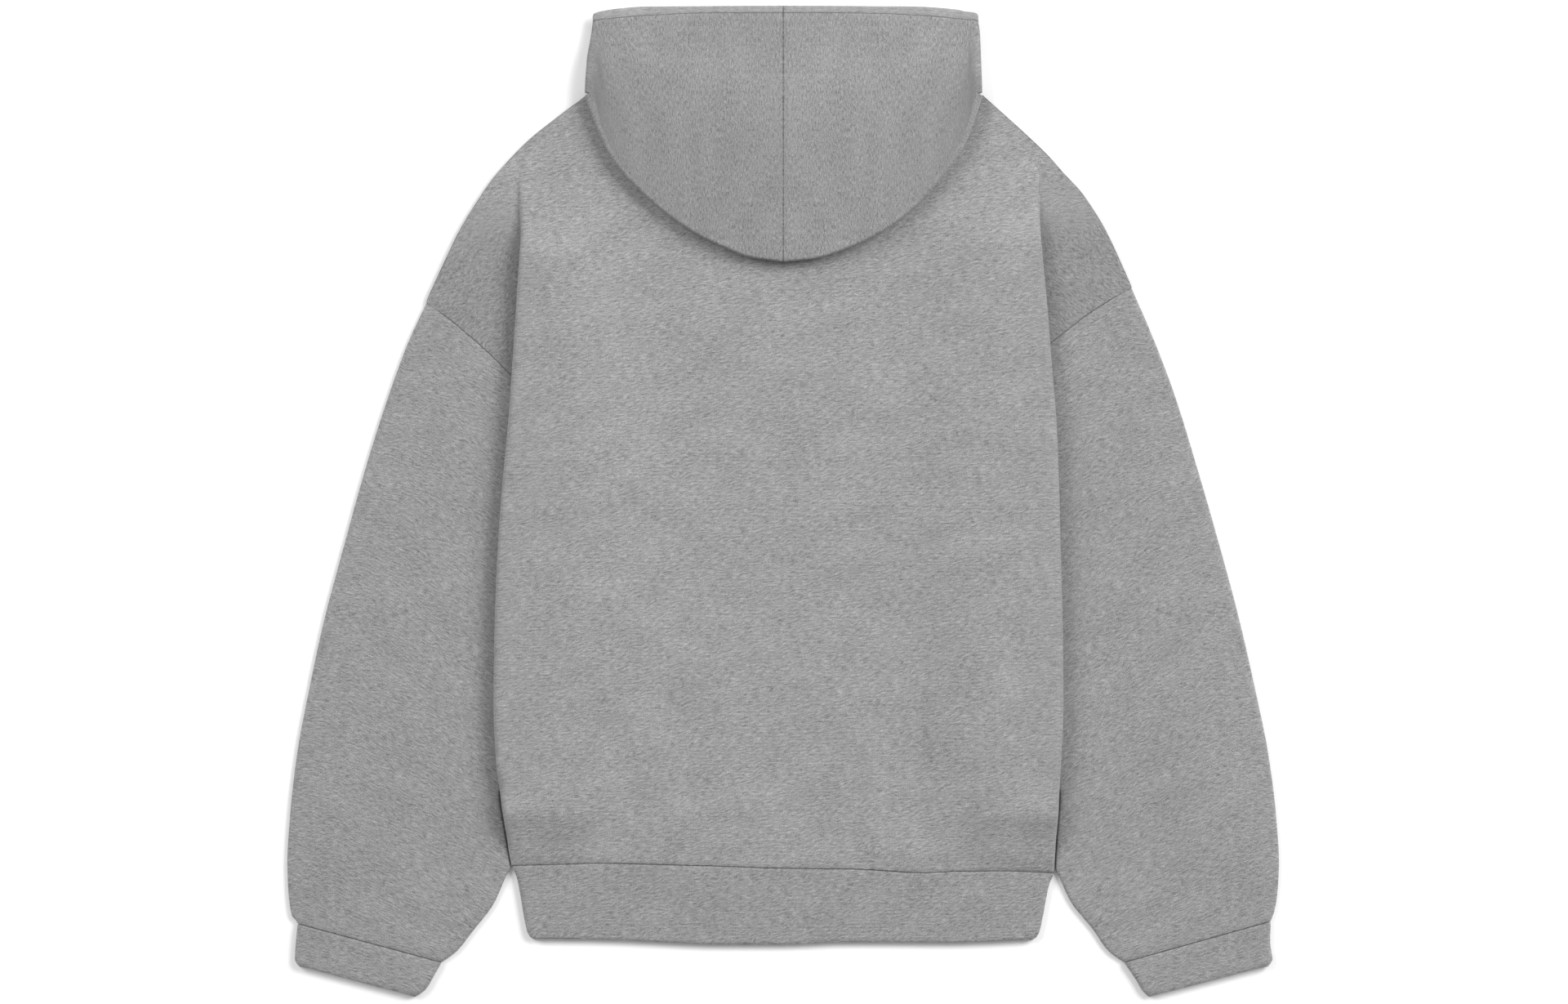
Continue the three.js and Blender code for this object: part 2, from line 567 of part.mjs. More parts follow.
function hoodHalf(side) {
  const sign = side === "left" ? -1 : 1;
  const seam = rimLine(side, RIM_SEAM, SEAM_GAP);
  const starts = hoodFoldStarts(HOOD_FOLD[side]);
  const away = new THREE.Vector3(HOOD_CORNER.awayOut, HOOD_CORNER.awayUp, 0);
  const corner = { out: sideStart(side, HOOD_NECK_UP, 1), up: HOOD_NECK_UP, away };
  starts[starts.length - 1] = corner;
  const lines = [];
  for (let j = 0; j <= HOOD_ROWS; j += 1) {
    const share = j / HOOD_ROWS;
    const sideUp = between(seam[seam.length - 1].up, HOOD_NECK_UP, share);
    const bow = sideStart(side, sideUp, share) - between(seam[seam.length - 1].out, corner.out, share);
    const plan = seam.map((p, i) => ({
      out: between(p.out, starts[i].out, share) + bow * (i / (seam.length - 1)) ** 3,
      up: between(p.up, starts[i].up, share),
    }));
    const frontUp = between(HOOD_FRONT.seam - SEAM_GAP, HOOD_FRONT.neck, share);
    const curve = between(1, NECK.curve, share);
    const drop = between(SIDE_DROP.hood, SIDE_DROP.neck, share);
    lines.push(hoodLine({ plan, frontUp, curve, toNeck: share, drop }));
  }
  const width = lines[0].length;
  for (let j = 1; j <= HOOD_TURN_STEPS; j += 1) {
    const angle = Math.PI * (0.5 - j / HOOD_TURN_STEPS);
    const line = starts.map((p) => {
      const reach = HOOD_FOLD_RADIUS * Math.cos(angle);
      const z = HOOD_UNDER + HOOD_FOLD_RADIUS * (1 + Math.sin(angle));
      return new THREE.Vector3(p.out + p.away.x * reach, p.up + p.away.y * reach, z);
    });
    lines.push(line);
  }
  const ends = starts.map((p, i) => {
    if (i === starts.length - 1) {
      return new THREE.Vector3(p.out + HOOD_CORNER.endOut, p.up + HOOD_CORNER.endUp, HOOD_UNDER);
    }
    const out = Math.max(HALF_SEAM, p.out * HOOD_UNDER_SPREAD);
    return new THREE.Vector3(out, backNeck(out), HOOD_UNDER);
  });
  for (let j = 1; j <= HOOD_UNDER_STEPS; j += 1) {
    const share = j / HOOD_UNDER_STEPS;
    lines.push(starts.map((p, i) => new THREE.Vector3(p.out, p.up, HOOD_UNDER).lerp(ends[i], share)));
  }
  const corners = starts.length - 1;
  const grid = lines.map((line) => {
    const full = [...line];
    while (full.length < width) full.push(line[line.length - 1]);
    return full;
  });
  const present = (i, j) => {
    const column = sign < 0 ? width - 2 - j : j;
    return i < HOOD_ROWS || column < corners;
  };
  return wall(`hood_${side}`, turned(grid, sign), { thickness: DOUBLED, colour: GREY.hood, present });
}

// Puts a grid drawn out from the centre on its own side, with its faces the right way round
function turned(grid, sign) {
  return grid.map((row) => {
    const placed = row.map((p) => new THREE.Vector3(sign * p.x, p.y, p.z));
    return sign < 0 ? placed.reverse() : placed;
  });
}

function hoodRim(side) {
  const sign = side === "left" ? -1 : 1;
  const edge = hoodLine({ plan: rimLine(side, RIM_EDGE, 0), frontUp: HOOD_FRONT.edge, drop: SIDE_DROP.edge });
  const seam = hoodLine({ plan: rimLine(side, RIM_SEAM, 0), frontUp: HOOD_FRONT.seam, drop: SIDE_DROP.seam });
  const options = { thickness: DOUBLED, colour: GREY.rim };
  return wall(`hood_rim_${side}`, turned([edge, seam], sign), options);
}

const hoodie = new THREE.Group();
hoodie.name = "pullover_hoodie";
hoodie.add(bodyPanel("back_panel", PITCH / 2, backNeck, NECK_LIFT.height));
hoodie.add(bodyPanel("front_panel", -PITCH / 2, (out) => frontNeck(out) - EDGE_GAP, 0));
hoodie.add(hemBand());
for (const side of ["left", "right"]) {
  hoodie.add(sleeve(side));
  hoodie.add(cuff(side));
  hoodie.add(hoodHalf(side));
  hoodie.add(hoodRim(side));
}
export default hoodie;
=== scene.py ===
"""A pullover hoodie lying flat, face down, with its back up and its hood laid down on the back.

Metres. X is across the garment, Y runs up to the hood's face opening, and Z is up from the surface it
lies on. The centre seam of the hood is at x = 0, and "out" is a distance from that line. Each piece is
a closed thin wall on the form of its solid, and carries where each point was on the flat cloth, so the
marl runs with the cloth through every fold.
"""
import math

import bpy
import numpy as np
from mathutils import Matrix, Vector


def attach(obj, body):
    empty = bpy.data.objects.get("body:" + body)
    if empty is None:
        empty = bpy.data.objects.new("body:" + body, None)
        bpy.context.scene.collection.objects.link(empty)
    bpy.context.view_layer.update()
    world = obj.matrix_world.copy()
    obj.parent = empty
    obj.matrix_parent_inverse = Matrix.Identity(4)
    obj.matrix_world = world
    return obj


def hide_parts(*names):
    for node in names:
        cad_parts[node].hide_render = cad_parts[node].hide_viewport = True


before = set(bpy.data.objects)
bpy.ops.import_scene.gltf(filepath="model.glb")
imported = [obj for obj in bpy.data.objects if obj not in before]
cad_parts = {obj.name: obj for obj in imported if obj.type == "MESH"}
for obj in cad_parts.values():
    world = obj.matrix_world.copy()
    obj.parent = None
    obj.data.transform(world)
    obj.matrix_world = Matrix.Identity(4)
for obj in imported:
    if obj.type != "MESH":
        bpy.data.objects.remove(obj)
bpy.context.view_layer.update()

bl_info = {
    "name": "Pullover hoodie laid flat",
    "version": (1, 0, 0),
    "blender": (4, 5, 0),
    "location": "3D View > Sidebar > Hoodie",
    "description": "A marled fleece hoodie lying face down, with its hood laid down on the back",
    "category": "Object",
}

BODY = "root"
SIDES = {"left": -1, "right": 1}

# Walls and gaps
CLOTH = 0.002
DOUBLED = 0.003  # the hood, the hem band and the cuffs are doubled cloth
PITCH = 0.0024  # from the middle of one cloth to the middle of the next one lying on it
SEAM_GAP = 0.0003
HALF_SEAM = 0.00025
EDGE_GAP = 0.00045
HEM_GAP = 0.0006
SOFTEST_TURN = 1.5
SIDE_FOLD_RADIUS = 0.00305  # of the middle between back and front, where the sides turn under
HOOD_FOLD_RADIUS = 0.0034
SLEEVE_CROWN = {"height": 0.0024, "width": 0.62}
BOW_RINGS = 3
NECK_LIFT = {"height": 0.001, "low_up": 0.19, "ramp_up": 0.06, "out": 0.215, "ramp_out": 0.04}

# Heights of the middle of each layer
FLOOR_PAIR = CLOTH / 2 + PITCH / 2
FLOOR_DOUBLED = DOUBLED / 2
HOOD_UNDER = 0.0073
HOOD_TOP = HOOD_UNDER + 2 * HOOD_FOLD_RADIUS
HOOD_TOP_AT_RIM = FLOOR_DOUBLED + 2 * HOOD_FOLD_RADIUS


def table(names, *rows):
    """Rows of numbers as one array for each named column."""
    return dict(zip(names.split(), np.array(rows, float).T))


# The body in sections from the neck to the hem. edge: the shoulder's outline, then the armhole seam, and
# nothing where the side seam is inside the tuck. fold: where the body's side is seen to turn under.
# turn: how far the side turns under, in degrees. tuck: how far it runs in under itself.
SECTION = "up edge fold turn tuck"
BODY_SIDES = {
    "left": table(
        SECTION,
        (0.3416, 0.1663, 0.155, 0, 0),
        (0.3236, 0.1904, 0.177, 0, 0),
        (0.305, 0.2139, 0.2, 0, 0),
        (0.287, 0.2318, 0.216, 5, 0),
        (0.2719, 0.245, 0.2228, 18, 0),
        (0.256, 0.2561, 0.2224, 40, 0),
        (0.2401, 0.2663, 0.2218, 72, 0),
        (0.2243, 0.2753, 0.2214, 112, 0.001),
        (0.2085, 0.2829, 0.2221, 150, 0.003),
        (0.1877, 0.2926, 0.2237, 176, 0.009),
        (0.1725, 0.2994, 0.2247, 180, 0.013),
        (0.1684, 0.3008, 0.2249, 180, 0.014),
        (0.1587, 0.2877, 0.2256, 180, 0.017),
        (0.1408, 0.2657, 0.2268, 180, 0.022),
        (0.1221, 0.245, 0.228, 180, 0.027),
        (0.1049, 0.2277, 0.2292, 180, 0.031),
        (0.0787, 0.2077, 0.231, 180, 0.038),
        (0.0476, 0.1932, 0.2336, 180, 0.044),
        (0.0131, 0.1859, 0.237, 180, 0.049),
        (-0.0455, 0, 0.241, 180, 0.049),
        (-0.1076, 0, 0.2434, 180, 0.045),
        (-0.1697, 0, 0.2443, 180, 0.036),
        (-0.2215, 0, 0.2419, 180, 0.021),
        (-0.245, 0, 0.2387, 180, 0.012),
        (-0.262, 0, 0.2362, 148, 0.005),
        (-0.276, 0, 0.2342, 112, 0.002),
        (-0.288, 0, 0.2326, 74, 0.001),
        (-0.298, 0, 0.231, 36, 0.001),
        (-0.307, 0, 0.2292, 0, 0),
    ),
    "right": table(
        SECTION,
        (0.3416, 0.1686, 0.155, 0, 0),
        (0.3248, 0.1875, 0.174, 0, 0),
        (0.3077, 0.2065, 0.192, 0, 0),
        (0.2912, 0.2237, 0.208, 5, 0),
        (0.2767, 0.2366, 0.2156, 18, 0),
        (0.2622, 0.2503, 0.2158, 40, 0),
        (0.2477, 0.2606, 0.2162, 72, 0),
        (0.2332, 0.2696, 0.2169, 112, 0.001),
        (0.218, 0.2774, 0.2177, 150, 0.003),
        (0.2008, 0.2853, 0.2193, 176, 0.008),
        (0.185, 0.2923, 0.2209, 180, 0.011),
        (0.1808, 0.2939, 0.2213, 180, 0.012),
        (0.173, 0.2803, 0.222, 180, 0.014),
        (0.1573, 0.2559, 0.2234, 180, 0.018),
        (0.1447, 0.2395, 0.2244, 180, 0.021),
        (0.1305, 0.222, 0.2254, 180, 0.024),
        (0.104, 0.2004, 0.2275, 180, 0.031),
        (0.066, 0.1874, 0.2306, 180, 0.042),
        (0.022, 0.1834, 0.2324, 180, 0.0465),
        (-0.0455, 0, 0.2342, 180, 0.047),
        (-0.1076, 0, 0.2358, 180, 0.043),
        (-0.1697, 0, 0.2364, 180, 0.034),
        (-0.2215, 0, 0.2343, 180, 0.02),
        (-0.245, 0, 0.2328, 180, 0.012),
        (-0.262, 0, 0.2318, 148, 0.005),
        (-0.276, 0, 0.2307, 112, 0.002),
        (-0.288, 0, 0.2299, 74, 0.001),
        (-0.299, 0, 0.2291, 36, 0.001),
        (-0.309, 0, 0.2284, 0, 0),
    ),
}
TIP_ROW = 11  # the shoulder's tip, where the outline ends and the armhole seam begins
ARMPIT_ROW = 18
ARMPIT = {"out": -0.0022, "up": -0.014}

# Necklines, hem seam and the hem band's lower edge
NECK = {"out": 0.16, "back": 0.3202, "front": 0.2526, "side": 0.3426, "curve": 1.7, "reach": 0.196}
HEM_SEAM = table(
    "across up",
    (-0.229, -0.307),
    (-0.153, -0.305),
    (-0.068, -0.307),
    (-0.02, -0.309),
    (0.06, -0.31),
    (0.118, -0.313),
    (0.17, -0.311),
    (0.229, -0.313),
)
HEM_REACH = -0.215  # the rows below this follow the hem seam's waves
BAND_EDGE = table(
    "across up",
    (-0.215, -0.3684),
    (-0.15, -0.3692),
    (-0.1, -0.3716),
    (-0.06, -0.3733),
    (0, -0.3733),
    (0.06, -0.3712),
    (0.14, -0.3719),
    (0.19, -0.3705),
    (0.215, -0.3684),
)
BAND_SIDES = table(
    "share out",
    (0, 0.229),
    (0.15, 0.225),
    (0.35, 0.2225),
    (0.7, 0.2189),
    (0.91, 0.2161),
    (0.967, 0.2142),
    (1, 0.21),
)

# A sleeve's outer and inner edge, ring by ring, from the armhole seam to the cuff seam
RING = "outer_out outer_up inner_out inner_up"
SLEEVES = {
    "left": table(
        RING,
        (0.317, 0.133, 0.1832, -0.028),
        (0.3367, 0.0787, 0.1836, -0.062),
        (0.354, 0.0235, 0.1865, -0.104),
        (0.3712, -0.0386, 0.1925, -0.145),
        (0.3878, -0.1007, 0.201, -0.184),
        (0.4006, -0.16, 0.217, -0.219),
        (0.41, -0.21, 0.2392, -0.248),
        (0.4162, -0.262, 0.2337, -0.284),
        (0.4188, -0.305, 0.2302, -0.3094),
        (0.4187, -0.309, 0.2328, -0.3138),
        (0.4178, -0.33, 0.2443, -0.339),
        (0.4148, -0.3494, 0.263, -0.3635),
        (0.4119, -0.3523, 0.2755, -0.3792),
        (0.4099, -0.356, 0.2886, -0.3886),
    ),
    "right": table(
        RING,
        (0.3085, 0.147, 0.182, -0.022),
        (0.3296, 0.0925, 0.184, -0.058),
        (0.3485, 0.032, 0.1875, -0.101),
        (0.367, -0.032, 0.1935, -0.143),
        (0.384, -0.095, 0.201, -0.183),
        (0.3985, -0.158, 0.214, -0.219),
        (0.4095, -0.212, 0.2334, -0.248),
        (0.416, -0.262, 0.2309, -0.284),
        (0.4188, -0.305, 0.2296, -0.3094),
        (0.4187, -0.309, 0.2318, -0.3138),
        (0.4175, -0.33, 0.2425, -0.337),
        (0.415, -0.345, 0.262, -0.3615),
        (0.4133, -0.35, 0.2747, -0.3793),
        (0.4116, -0.354, 0.288, -0.3886),
    ),
}
CUFFS = {
    "left": table(
        RING,
        (0.4099, -0.3566, 0.2886, -0.3892),
        (0.4112, -0.368, 0.295, -0.4005),
        (0.4124, -0.386, 0.3023, -0.412),
        (0.4085, -0.3915, 0.3105, -0.4173),
    ),
    "right": table(
        RING,
        (0.4116, -0.3546, 0.288, -0.3892),
        (0.4112, -0.372, 0.2975, -0.403),
        (0.4133, -0.386, 0.3036, -0.413),
        (0.4092, -0.3913, 0.3086, -0.4174),
    ),
}
ACROSS = np.array([0, 0.09, 0.21, 0.35, 0.5, 0.65, 0.79, 0.91, 1])

# The hood. HOOD_FOLD is the round lower fold that lies on the back, from the centre to the side.
OUTLINE = "out up"
HOOD_FOLD = {
    "left": table(
        OUTLINE,
        (0.00025, 0.2018),
        (0.029, 0.206),
        (0.0495, 0.214),
        (0.0748, 0.2262),
        (0.0978, 0.242),
        (0.1209, 0.262),
        (0.1442, 0.2884),
        (0.156, 0.312),
        (0.1645, 0.336),
    ),
    "right": table(
        OUTLINE,
        (0.00025, 0.2018),
        (0.027, 0.2047),
        (0.0501, 0.2118),
        (0.0849, 0.2281),
        (0.1129, 0.2499),
        (0.1363, 0.2761),
        (0.1525, 0.2994),
        (0.161, 0.3195),
        (0.1665, 0.337),
    ),
}
HOOD_SIDE = {
    "left": table(
        OUTLINE, (0.1674, 0.3443), (0.167, 0.3547), (0.1656, 0.3754), (0.1622, 0.3961), (0.1608, 0.407)
    ),
    "right": table(
        OUTLINE, (0.168, 0.3443), (0.1677, 0.3547), (0.167, 0.3754), (0.1663, 0.3961), (0.1649, 0.407)
    ),
}
RIM_EDGE = table(OUTLINE, (0, 0.4181), (0.115, 0.4174), (0.1432, 0.4154), (0.1565, 0.4126))
RIM_SEAM = table(OUTLINE, (0, 0.412), (0.07, 0.412), (0.11, 0.4102), (0.129, 0.4088), (0.1565, 0.4062))
SIDE_DROP = {"edge": 0.008, "seam": 0.006, "hood": 0.0083, "neck": -0.0008}  # down as it turns under
HOOD_FRONT = {"edge": 0.2822, "seam": 0.2767, "neck": NECK["front"]}
HOOD_NECK_UP = 0.3443
HOOD_SAG = {"length": 0.045, "neck_clear": 0.005, "edge_slope": 0.77, "depth": 0.45}
HOOD_CROWN = {"height": 0.005, "at_rim": 0.25}  # how the hood stands up along its middle
HOOD_RISE = {"up": 0.404, "length": 0.05}
HOOD_CORNER = {"away": (0.86, -0.5), "end_out": -0.0015, "end_up": 0.0008}
NECK_TURN = HOOD_FOLD_RADIUS * HOOD_CORNER["away"][0]  # how far out the side fold reaches at the neck
HOOD_UNDER_SPREAD = 0.98  # the under layer's width at the neck, as a share of its width at the fold

# How each piece's edges are finished: the wall's corners are set in, and its middle stands out
EDGE_ROUND = {"inset": 0.0005, "reach": 0.00085, "steps": 4}


def lerp(a, b, share):
    return a + (b - a) * share


def smooth(share):
    s = np.clip(share, 0, 1)
    return s * s * (3 - 2 * s)


CRISP = 0.3  # below 1, a fold's turn is squarer than a round one, as in pressed cloth


def crisp(share):
    """A sine or cosine of a fold's turn, drawn out towards 1."""
    return np.sign(share) * np.abs(share) ** CRISP


def read(rows, key, value, wanted):
    """The wanted column where another column has the given value, in straight lines between the rows."""
    order = np.argsort(rows[key])
    return np.interp(value, rows[key][order], rows[wanted][order])


# Grids of points. Each point holds x, y, z, its place on the flat cloth along the marl and across it, and
# how far it is on a shoulder wing, which is below 0 on the left one
PLACE = slice(0, 3)
CUT = slice(3, 6)
TINY = 1e-12  # keeps a length of nothing from dividing


def slopes(knots, values):
    """Slopes of a smooth line through the values that never swings past them."""
    h = np.diff(knots)[:, None]
    d = np.diff(values, axis=0) / h
    same = d[:-1] * d[1:] > 0
    before = np.where(same, d[:-1], 1)
    after = np.where(same, d[1:], 1)
    w_before = 2 * h[1:] + h[:-1]
    w_after = h[1:] + 2 * h[:-1]
    inner = np.where(same, (w_before + w_after) / (w_before / before + w_after / after), 0)
    return np.vstack([d[:1], inner, d[-1:]])


def refine(grid, axis, step, least=1, closed=False):
    """The grid with more rows (axis 0) or columns (axis 1), about a step apart, on smooth lines through
    the given points, and for each new one the number of the old one that it follows."""
    values = np.moveaxis(grid, axis, 0)
    count = len(values)
    if closed:
        values = np.concatenate([values[-2:], values, values[:3]])
    lengths = np.linalg.norm(np.diff(values[..., PLACE], axis=0), axis=2).mean(axis=1)
    lengths = np.maximum(lengths, step / 1000)
    knots = np.concatenate([[0], np.cumsum(lengths)])
    flat = values.reshape(len(values), -1)
    slope = slopes(knots, flat)
    skip = 2 if closed else 0
    cells = count if closed else count - 1
    made, old = [], []
    for cell in range(cells):
        i = cell + skip
        parts = max(least, math.ceil(lengths[i] / step))
        t = np.arange(parts)[:, None] / parts
        h = lengths[i]
        start, end = flat[i], flat[i + 1]
        made.append(
            (2 * t**3 - 3 * t**2 + 1) * start
            + (t**3 - 2 * t**2 + t) * h * slope[i]
            + (3 * t**2 - 2 * t**3) * end
            + (t**3 - t**2) * h * slope[i + 1]
        )
        old += [cell] * parts
    if not closed:
        made.append(flat[-1:])
    shape = (-1, *values.shape[1:])
    return np.moveaxis(np.concatenate(made).reshape(shape), 0, axis), np.array(old)


def cell_normals(grid, closed):
    after = np.roll(grid, -1, axis=1) if closed else grid[:, 1:]
    here = grid if closed else grid[:, :-1]
    down = after[1:, :, PLACE] - here[:-1, :, PLACE]
    across = after[:-1, :, PLACE] - here[1:, :, PLACE]
    normal = np.cross(down, across)
    return normal / np.maximum(np.linalg.norm(normal, axis=2, keepdims=True), TINY)


def point_normals(grid, cells, closed):
    normals = np.zeros(grid[..., PLACE].shape)
    each = cell_normals(grid, closed) * cells[..., None]
    width = each.shape[1]
    for rows in (slice(0, -1), slice(1, None)):
        normals[rows, :width] += each
        if closed:
            normals[rows] += np.roll(each, 1, axis=1)
        else:
            normals[rows, 1:] += each
    return normals / np.maximum(np.linalg.norm(normals, axis=2, keepdims=True), TINY)


def wall(name, grid, thickness, cells=None, closed=False, folded_end=False):
    """A closed wall of cloth around the grid, with rounded edges. cells says which of the grid's cells
    are cloth, closed joins the last column to the first, and folded_end says that the last row is a fold
    and no seam."""
    rows, columns = grid.shape[:2]
    cell_columns = columns if closed else columns - 1
    if cells is None:
        cells = np.ones((rows - 1, cell_columns), bool)
    normals = point_normals(grid, cells, closed)
    index = np.arange(rows * columns).reshape(rows, columns)
    i, j = np.nonzero(cells)
    following = (j + 1) % columns
    corners = np.stack([index[i, j], index[i + 1, j], index[i + 1, following], index[i, following]], axis=1)
    points = grid[..., PLACE].reshape(-1, 3)
    flat_normals = normals.reshape(-1, 3)
    edges, outward = open_edges(cells, corners, (i, j), points, closed)
    on_edge = np.linalg.norm(outward, axis=1) > 0
    outward[on_edge] /= np.linalg.norm(outward[on_edge], axis=1, keepdims=True)
    inset = EDGE_ROUND["inset"] * outward
    half = thickness / 2
    layers = [points - inset + half * flat_normals, points - inset - half * flat_normals]
    count = len(points)
    sewn = np.ones((rows, columns))
    if folded_end:
        sewn[-1] = 0
    # Painted shade: each point on a sewn edge's rounding gets a depth, and the seam shader darkens the
    # cloth's colour by it, for the shade down in the seam's groove.
    painted_shade_depths = [np.zeros(count), np.zeros(count)]
    for k in range(1, EDGE_ROUND["steps"]):
        angle = math.pi * (0.5 - k / EDGE_ROUND["steps"])
        bulge = EDGE_ROUND["reach"] * math.cos(angle) * outward
        layers.append(points - inset + bulge + half * math.sin(angle) * flat_normals)
        painted_shade_depths.append(math.cos(angle) * sewn.ravel())
    top, bottom = corners, corners[:, ::-1] + count
    order = [0, *range(2, EDGE_ROUND["steps"] + 1), 1]
    rims = []
    for upper, lower in zip(order[:-1], order[1:]):
        turns = ((1, upper), (0, upper), (0, lower), (1, lower))
        rims.append(np.stack([edges[:, end] + layer * count for end, layer in turns], axis=1))
    faces = np.concatenate([top, bottom, *rims])
    cut = np.tile(grid[..., CUT].reshape(-1, 3), (len(layers), 1))
    return make_mesh(name, np.concatenate(layers), faces, cut, np.concatenate(painted_shade_depths))


def open_edges(cells, corners, places, points, closed):
    """The pairs of points along the open edges of the cloth, and which way is out at each of them."""
    padded = np.pad(cells, 1)
    if closed:
        padded[:, 0] = padded[:, -2]
        padded[:, -1] = padded[:, 1]
    i, j = places[0] + 1, places[1] + 1
    neighbours = [(i, j - 1, 3, 2), (i + 1, j, 0, 3), (i, j + 1, 1, 0), (i - 1, j, 2, 1)]
    outward = np.zeros(points.shape)
    edges = []
    for side, (row, column, first_in, second_in) in enumerate(neighbours):
        is_open = ~padded[row, column]
        first = corners[is_open, side]
        second = corners[is_open, (side + 1) % 4]
        edges.append(np.stack([first, second], axis=1))
        for point, inner in ((first, corners[is_open, first_in]), (second, corners[is_open, second_in])):
            away = points[point] - points[inner]
            away /= np.maximum(np.linalg.norm(away, axis=1, keepdims=True), TINY)
            np.add.at(outward, point, away)
    return np.concatenate(edges), outward


def make_mesh(name, points, faces, cut, depth):
    """A piece with its faces, its place on the flat cloth, and how deep each point is in a seam, which sets
    the painted shade there.
    """
    used, faces = np.unique(faces, return_inverse=True)
    faces = faces.reshape(-1, 4)
    mesh = bpy.data.meshes.new(name)
    mesh.from_pydata(points[used], [], faces.tolist())
    mesh.update()
    mesh.shade_smooth()
    flat = mesh.attributes.new("cut", "FLOAT_VECTOR", "POINT")
    flat.data.foreach_set("vector", cut[used].astype(np.float32).ravel())
    # The seam attribute carries the painted shade of the seams' grooves.
    seam = mesh.attributes.new("seam", "FLOAT", "POINT")
    seam.data.foreach_set("value", depth[used].astype(np.float32))
    piece = bpy.data.objects.new(name, mesh)
    bpy.context.scene.collection.objects.link(piece)
    return piece


# The body. Its columns run from the centre: two flat ones, the ramp, the first turn, the tuck, the second
# turn, and the shoulder wing.
RAMP = {"length": 0.1, "clear": 0.01, "least": 0.001}
RAMP_SHARES = np.array([0, 0.33, 0.67, 1])
FOLD_STEPS = 4
WING_STEPS = 2
LEAST_TUCK = 0.0005
FLAT_COLUMNS = len(RAMP_SHARES) + 1
TUCK_COLUMN = len(RAMP_SHARES) + 3 + FOLD_STEPS


def body_section(edge, fold, turn, tuck):
    """One side of a body section: the shared middle of front and back, followed from the centre line out,
    under at the fold, in along the tuck, and out again as the shoulder wing."""
    turn = math.radians(turn)
    proud = PITCH / 2 + CLOTH / 2
    turn_step = max(turn, SOFTEST_TURN) * SIDE_FOLD_RADIUS / FOLD_STEPS
    path = [(0.0, 0.0, 0.0)]

    def step(length, heading):
        out, drop, before = path[-1]
        middle = (before + heading) / 2
        chord = length * np.sinc((heading - before) / 2 / math.pi)
        path.append((out + chord * math.cos(middle), drop + chord * math.sin(middle), heading))

    for i in range(1, FOLD_STEPS + 1):
        step(turn_step, turn * i / FOLD_STEPS)
    step(max(tuck, LEAST_TUCK), turn)
    reach = max(out + proud * math.sin(heading) for out, _, heading in path)
    for i in range(1, FOLD_STEPS + 1):
        step(turn_step, turn * (1 - i / FOLD_STEPS))
    start = fold - reach
    lift = path[-1][1]
    high = min(start + path[FOLD_STEPS + 1][0] - RAMP["clear"], start - RAMP["least"])
    low = high - RAMP["length"]
    points = [(out, FLOOR_PAIR, 0.0) for out in (0.0, low / 2)]
    points += [(lerp(low, high, s), FLOOR_PAIR + lift * smooth(s), 0.0) for s in RAMP_SHARES]
    points += [(start + out, FLOOR_PAIR + lift - drop, heading) for out, drop, heading in path]
    last = points[-1][0]
    points += [(lerp(last, edge, i / WING_STEPS), FLOOR_PAIR, 0.0) for i in range(1, WING_STEPS + 1)]
    return np.array(points)


def body_sections(side):
    rows = BODY_SIDES[side]
    return np.array([body_section(*row) for row in zip(*(rows[c] for c in ("edge", "fold", "turn", "tuck")))])


def back_neck(out):
    return lerp(NECK["back"], NECK["side"], np.minimum(1, out / NECK["out"]) ** 2)


def front_neck(out):
    return lerp(NECK["front"], NECK["side"], np.minimum(1, out / NECK["out"]) ** NECK["curve"])


def low_neck(out):
    """The front's neckline, an edge gap below the hood's."""
    return front_neck(out) - EDGE_GAP


NECK_COLUMNS = body_sections("left")[0, : FLAT_COLUMNS + 1, 0][::-1]


def body_half(side, above, neck_up, neck_lift):
    rows = BODY_SIDES[side]
    sign = SIDES[side]
    sections = body_sections(side)
    out, up, heading = np.moveaxis(sections, 2, 0)
    columns = np.arange(out.shape[1])
    share = np.minimum(1, columns / FLAT_COLUMNS)
    mean_up = (BODY_SIDES["left"]["up"] + BODY_SIDES["right"]["up"]) / 2
    y = lerp(mean_up[:, None], rows["up"][:, None], share)
    hem = read(HEM_SEAM, "across", sign * out[-1], "up")
    y = fit_up(y, neck_up(out[0]), hem)
    near_neck = smooth((y - NECK_LIFT["low_up"]) / NECK_LIFT["ramp_up"])
    lift = neck_lift * near_neck * smooth((NECK_LIFT["out"] - out) / NECK_LIFT["ramp_out"])
    on_top = (heading < math.pi / 2) & (columns <= FLAT_COLUMNS + 1 + FOLD_STEPS)
    x = sign * (out + above * np.where(on_top, crisp(np.sin(heading)), np.sin(heading)))
    z = up + above * np.where(on_top, crisp(np.cos(heading)), np.cos(heading)) + lift
    lengths = np.hypot(np.diff(out, axis=1), np.diff(up, axis=1))
    along = sign * np.pad(np.cumsum(lengths, axis=1), ((0, 0), (1, 0)))
    turned = smooth(rows["turn"] / 180)[:, None] * np.clip((columns - FLAT_COLUMNS) / FOLD_STEPS, 0, 1)
    return np.stack([x, y, z, along, y, sign * turned], axis=2)


def fit_up(y, top, hem):
    """Moves each column's heights so that it starts on the neckline and ends on the hem seam."""
    above = lerp(NECK["reach"], top, (y - NECK["reach"]) / (y[0] - NECK["reach"]))
    below = lerp(HEM_REACH, hem, (y - HEM_REACH) / (y[-1] - HEM_REACH))
    return np.where(y > NECK["reach"], above, np.where(y < HEM_REACH, below, y))


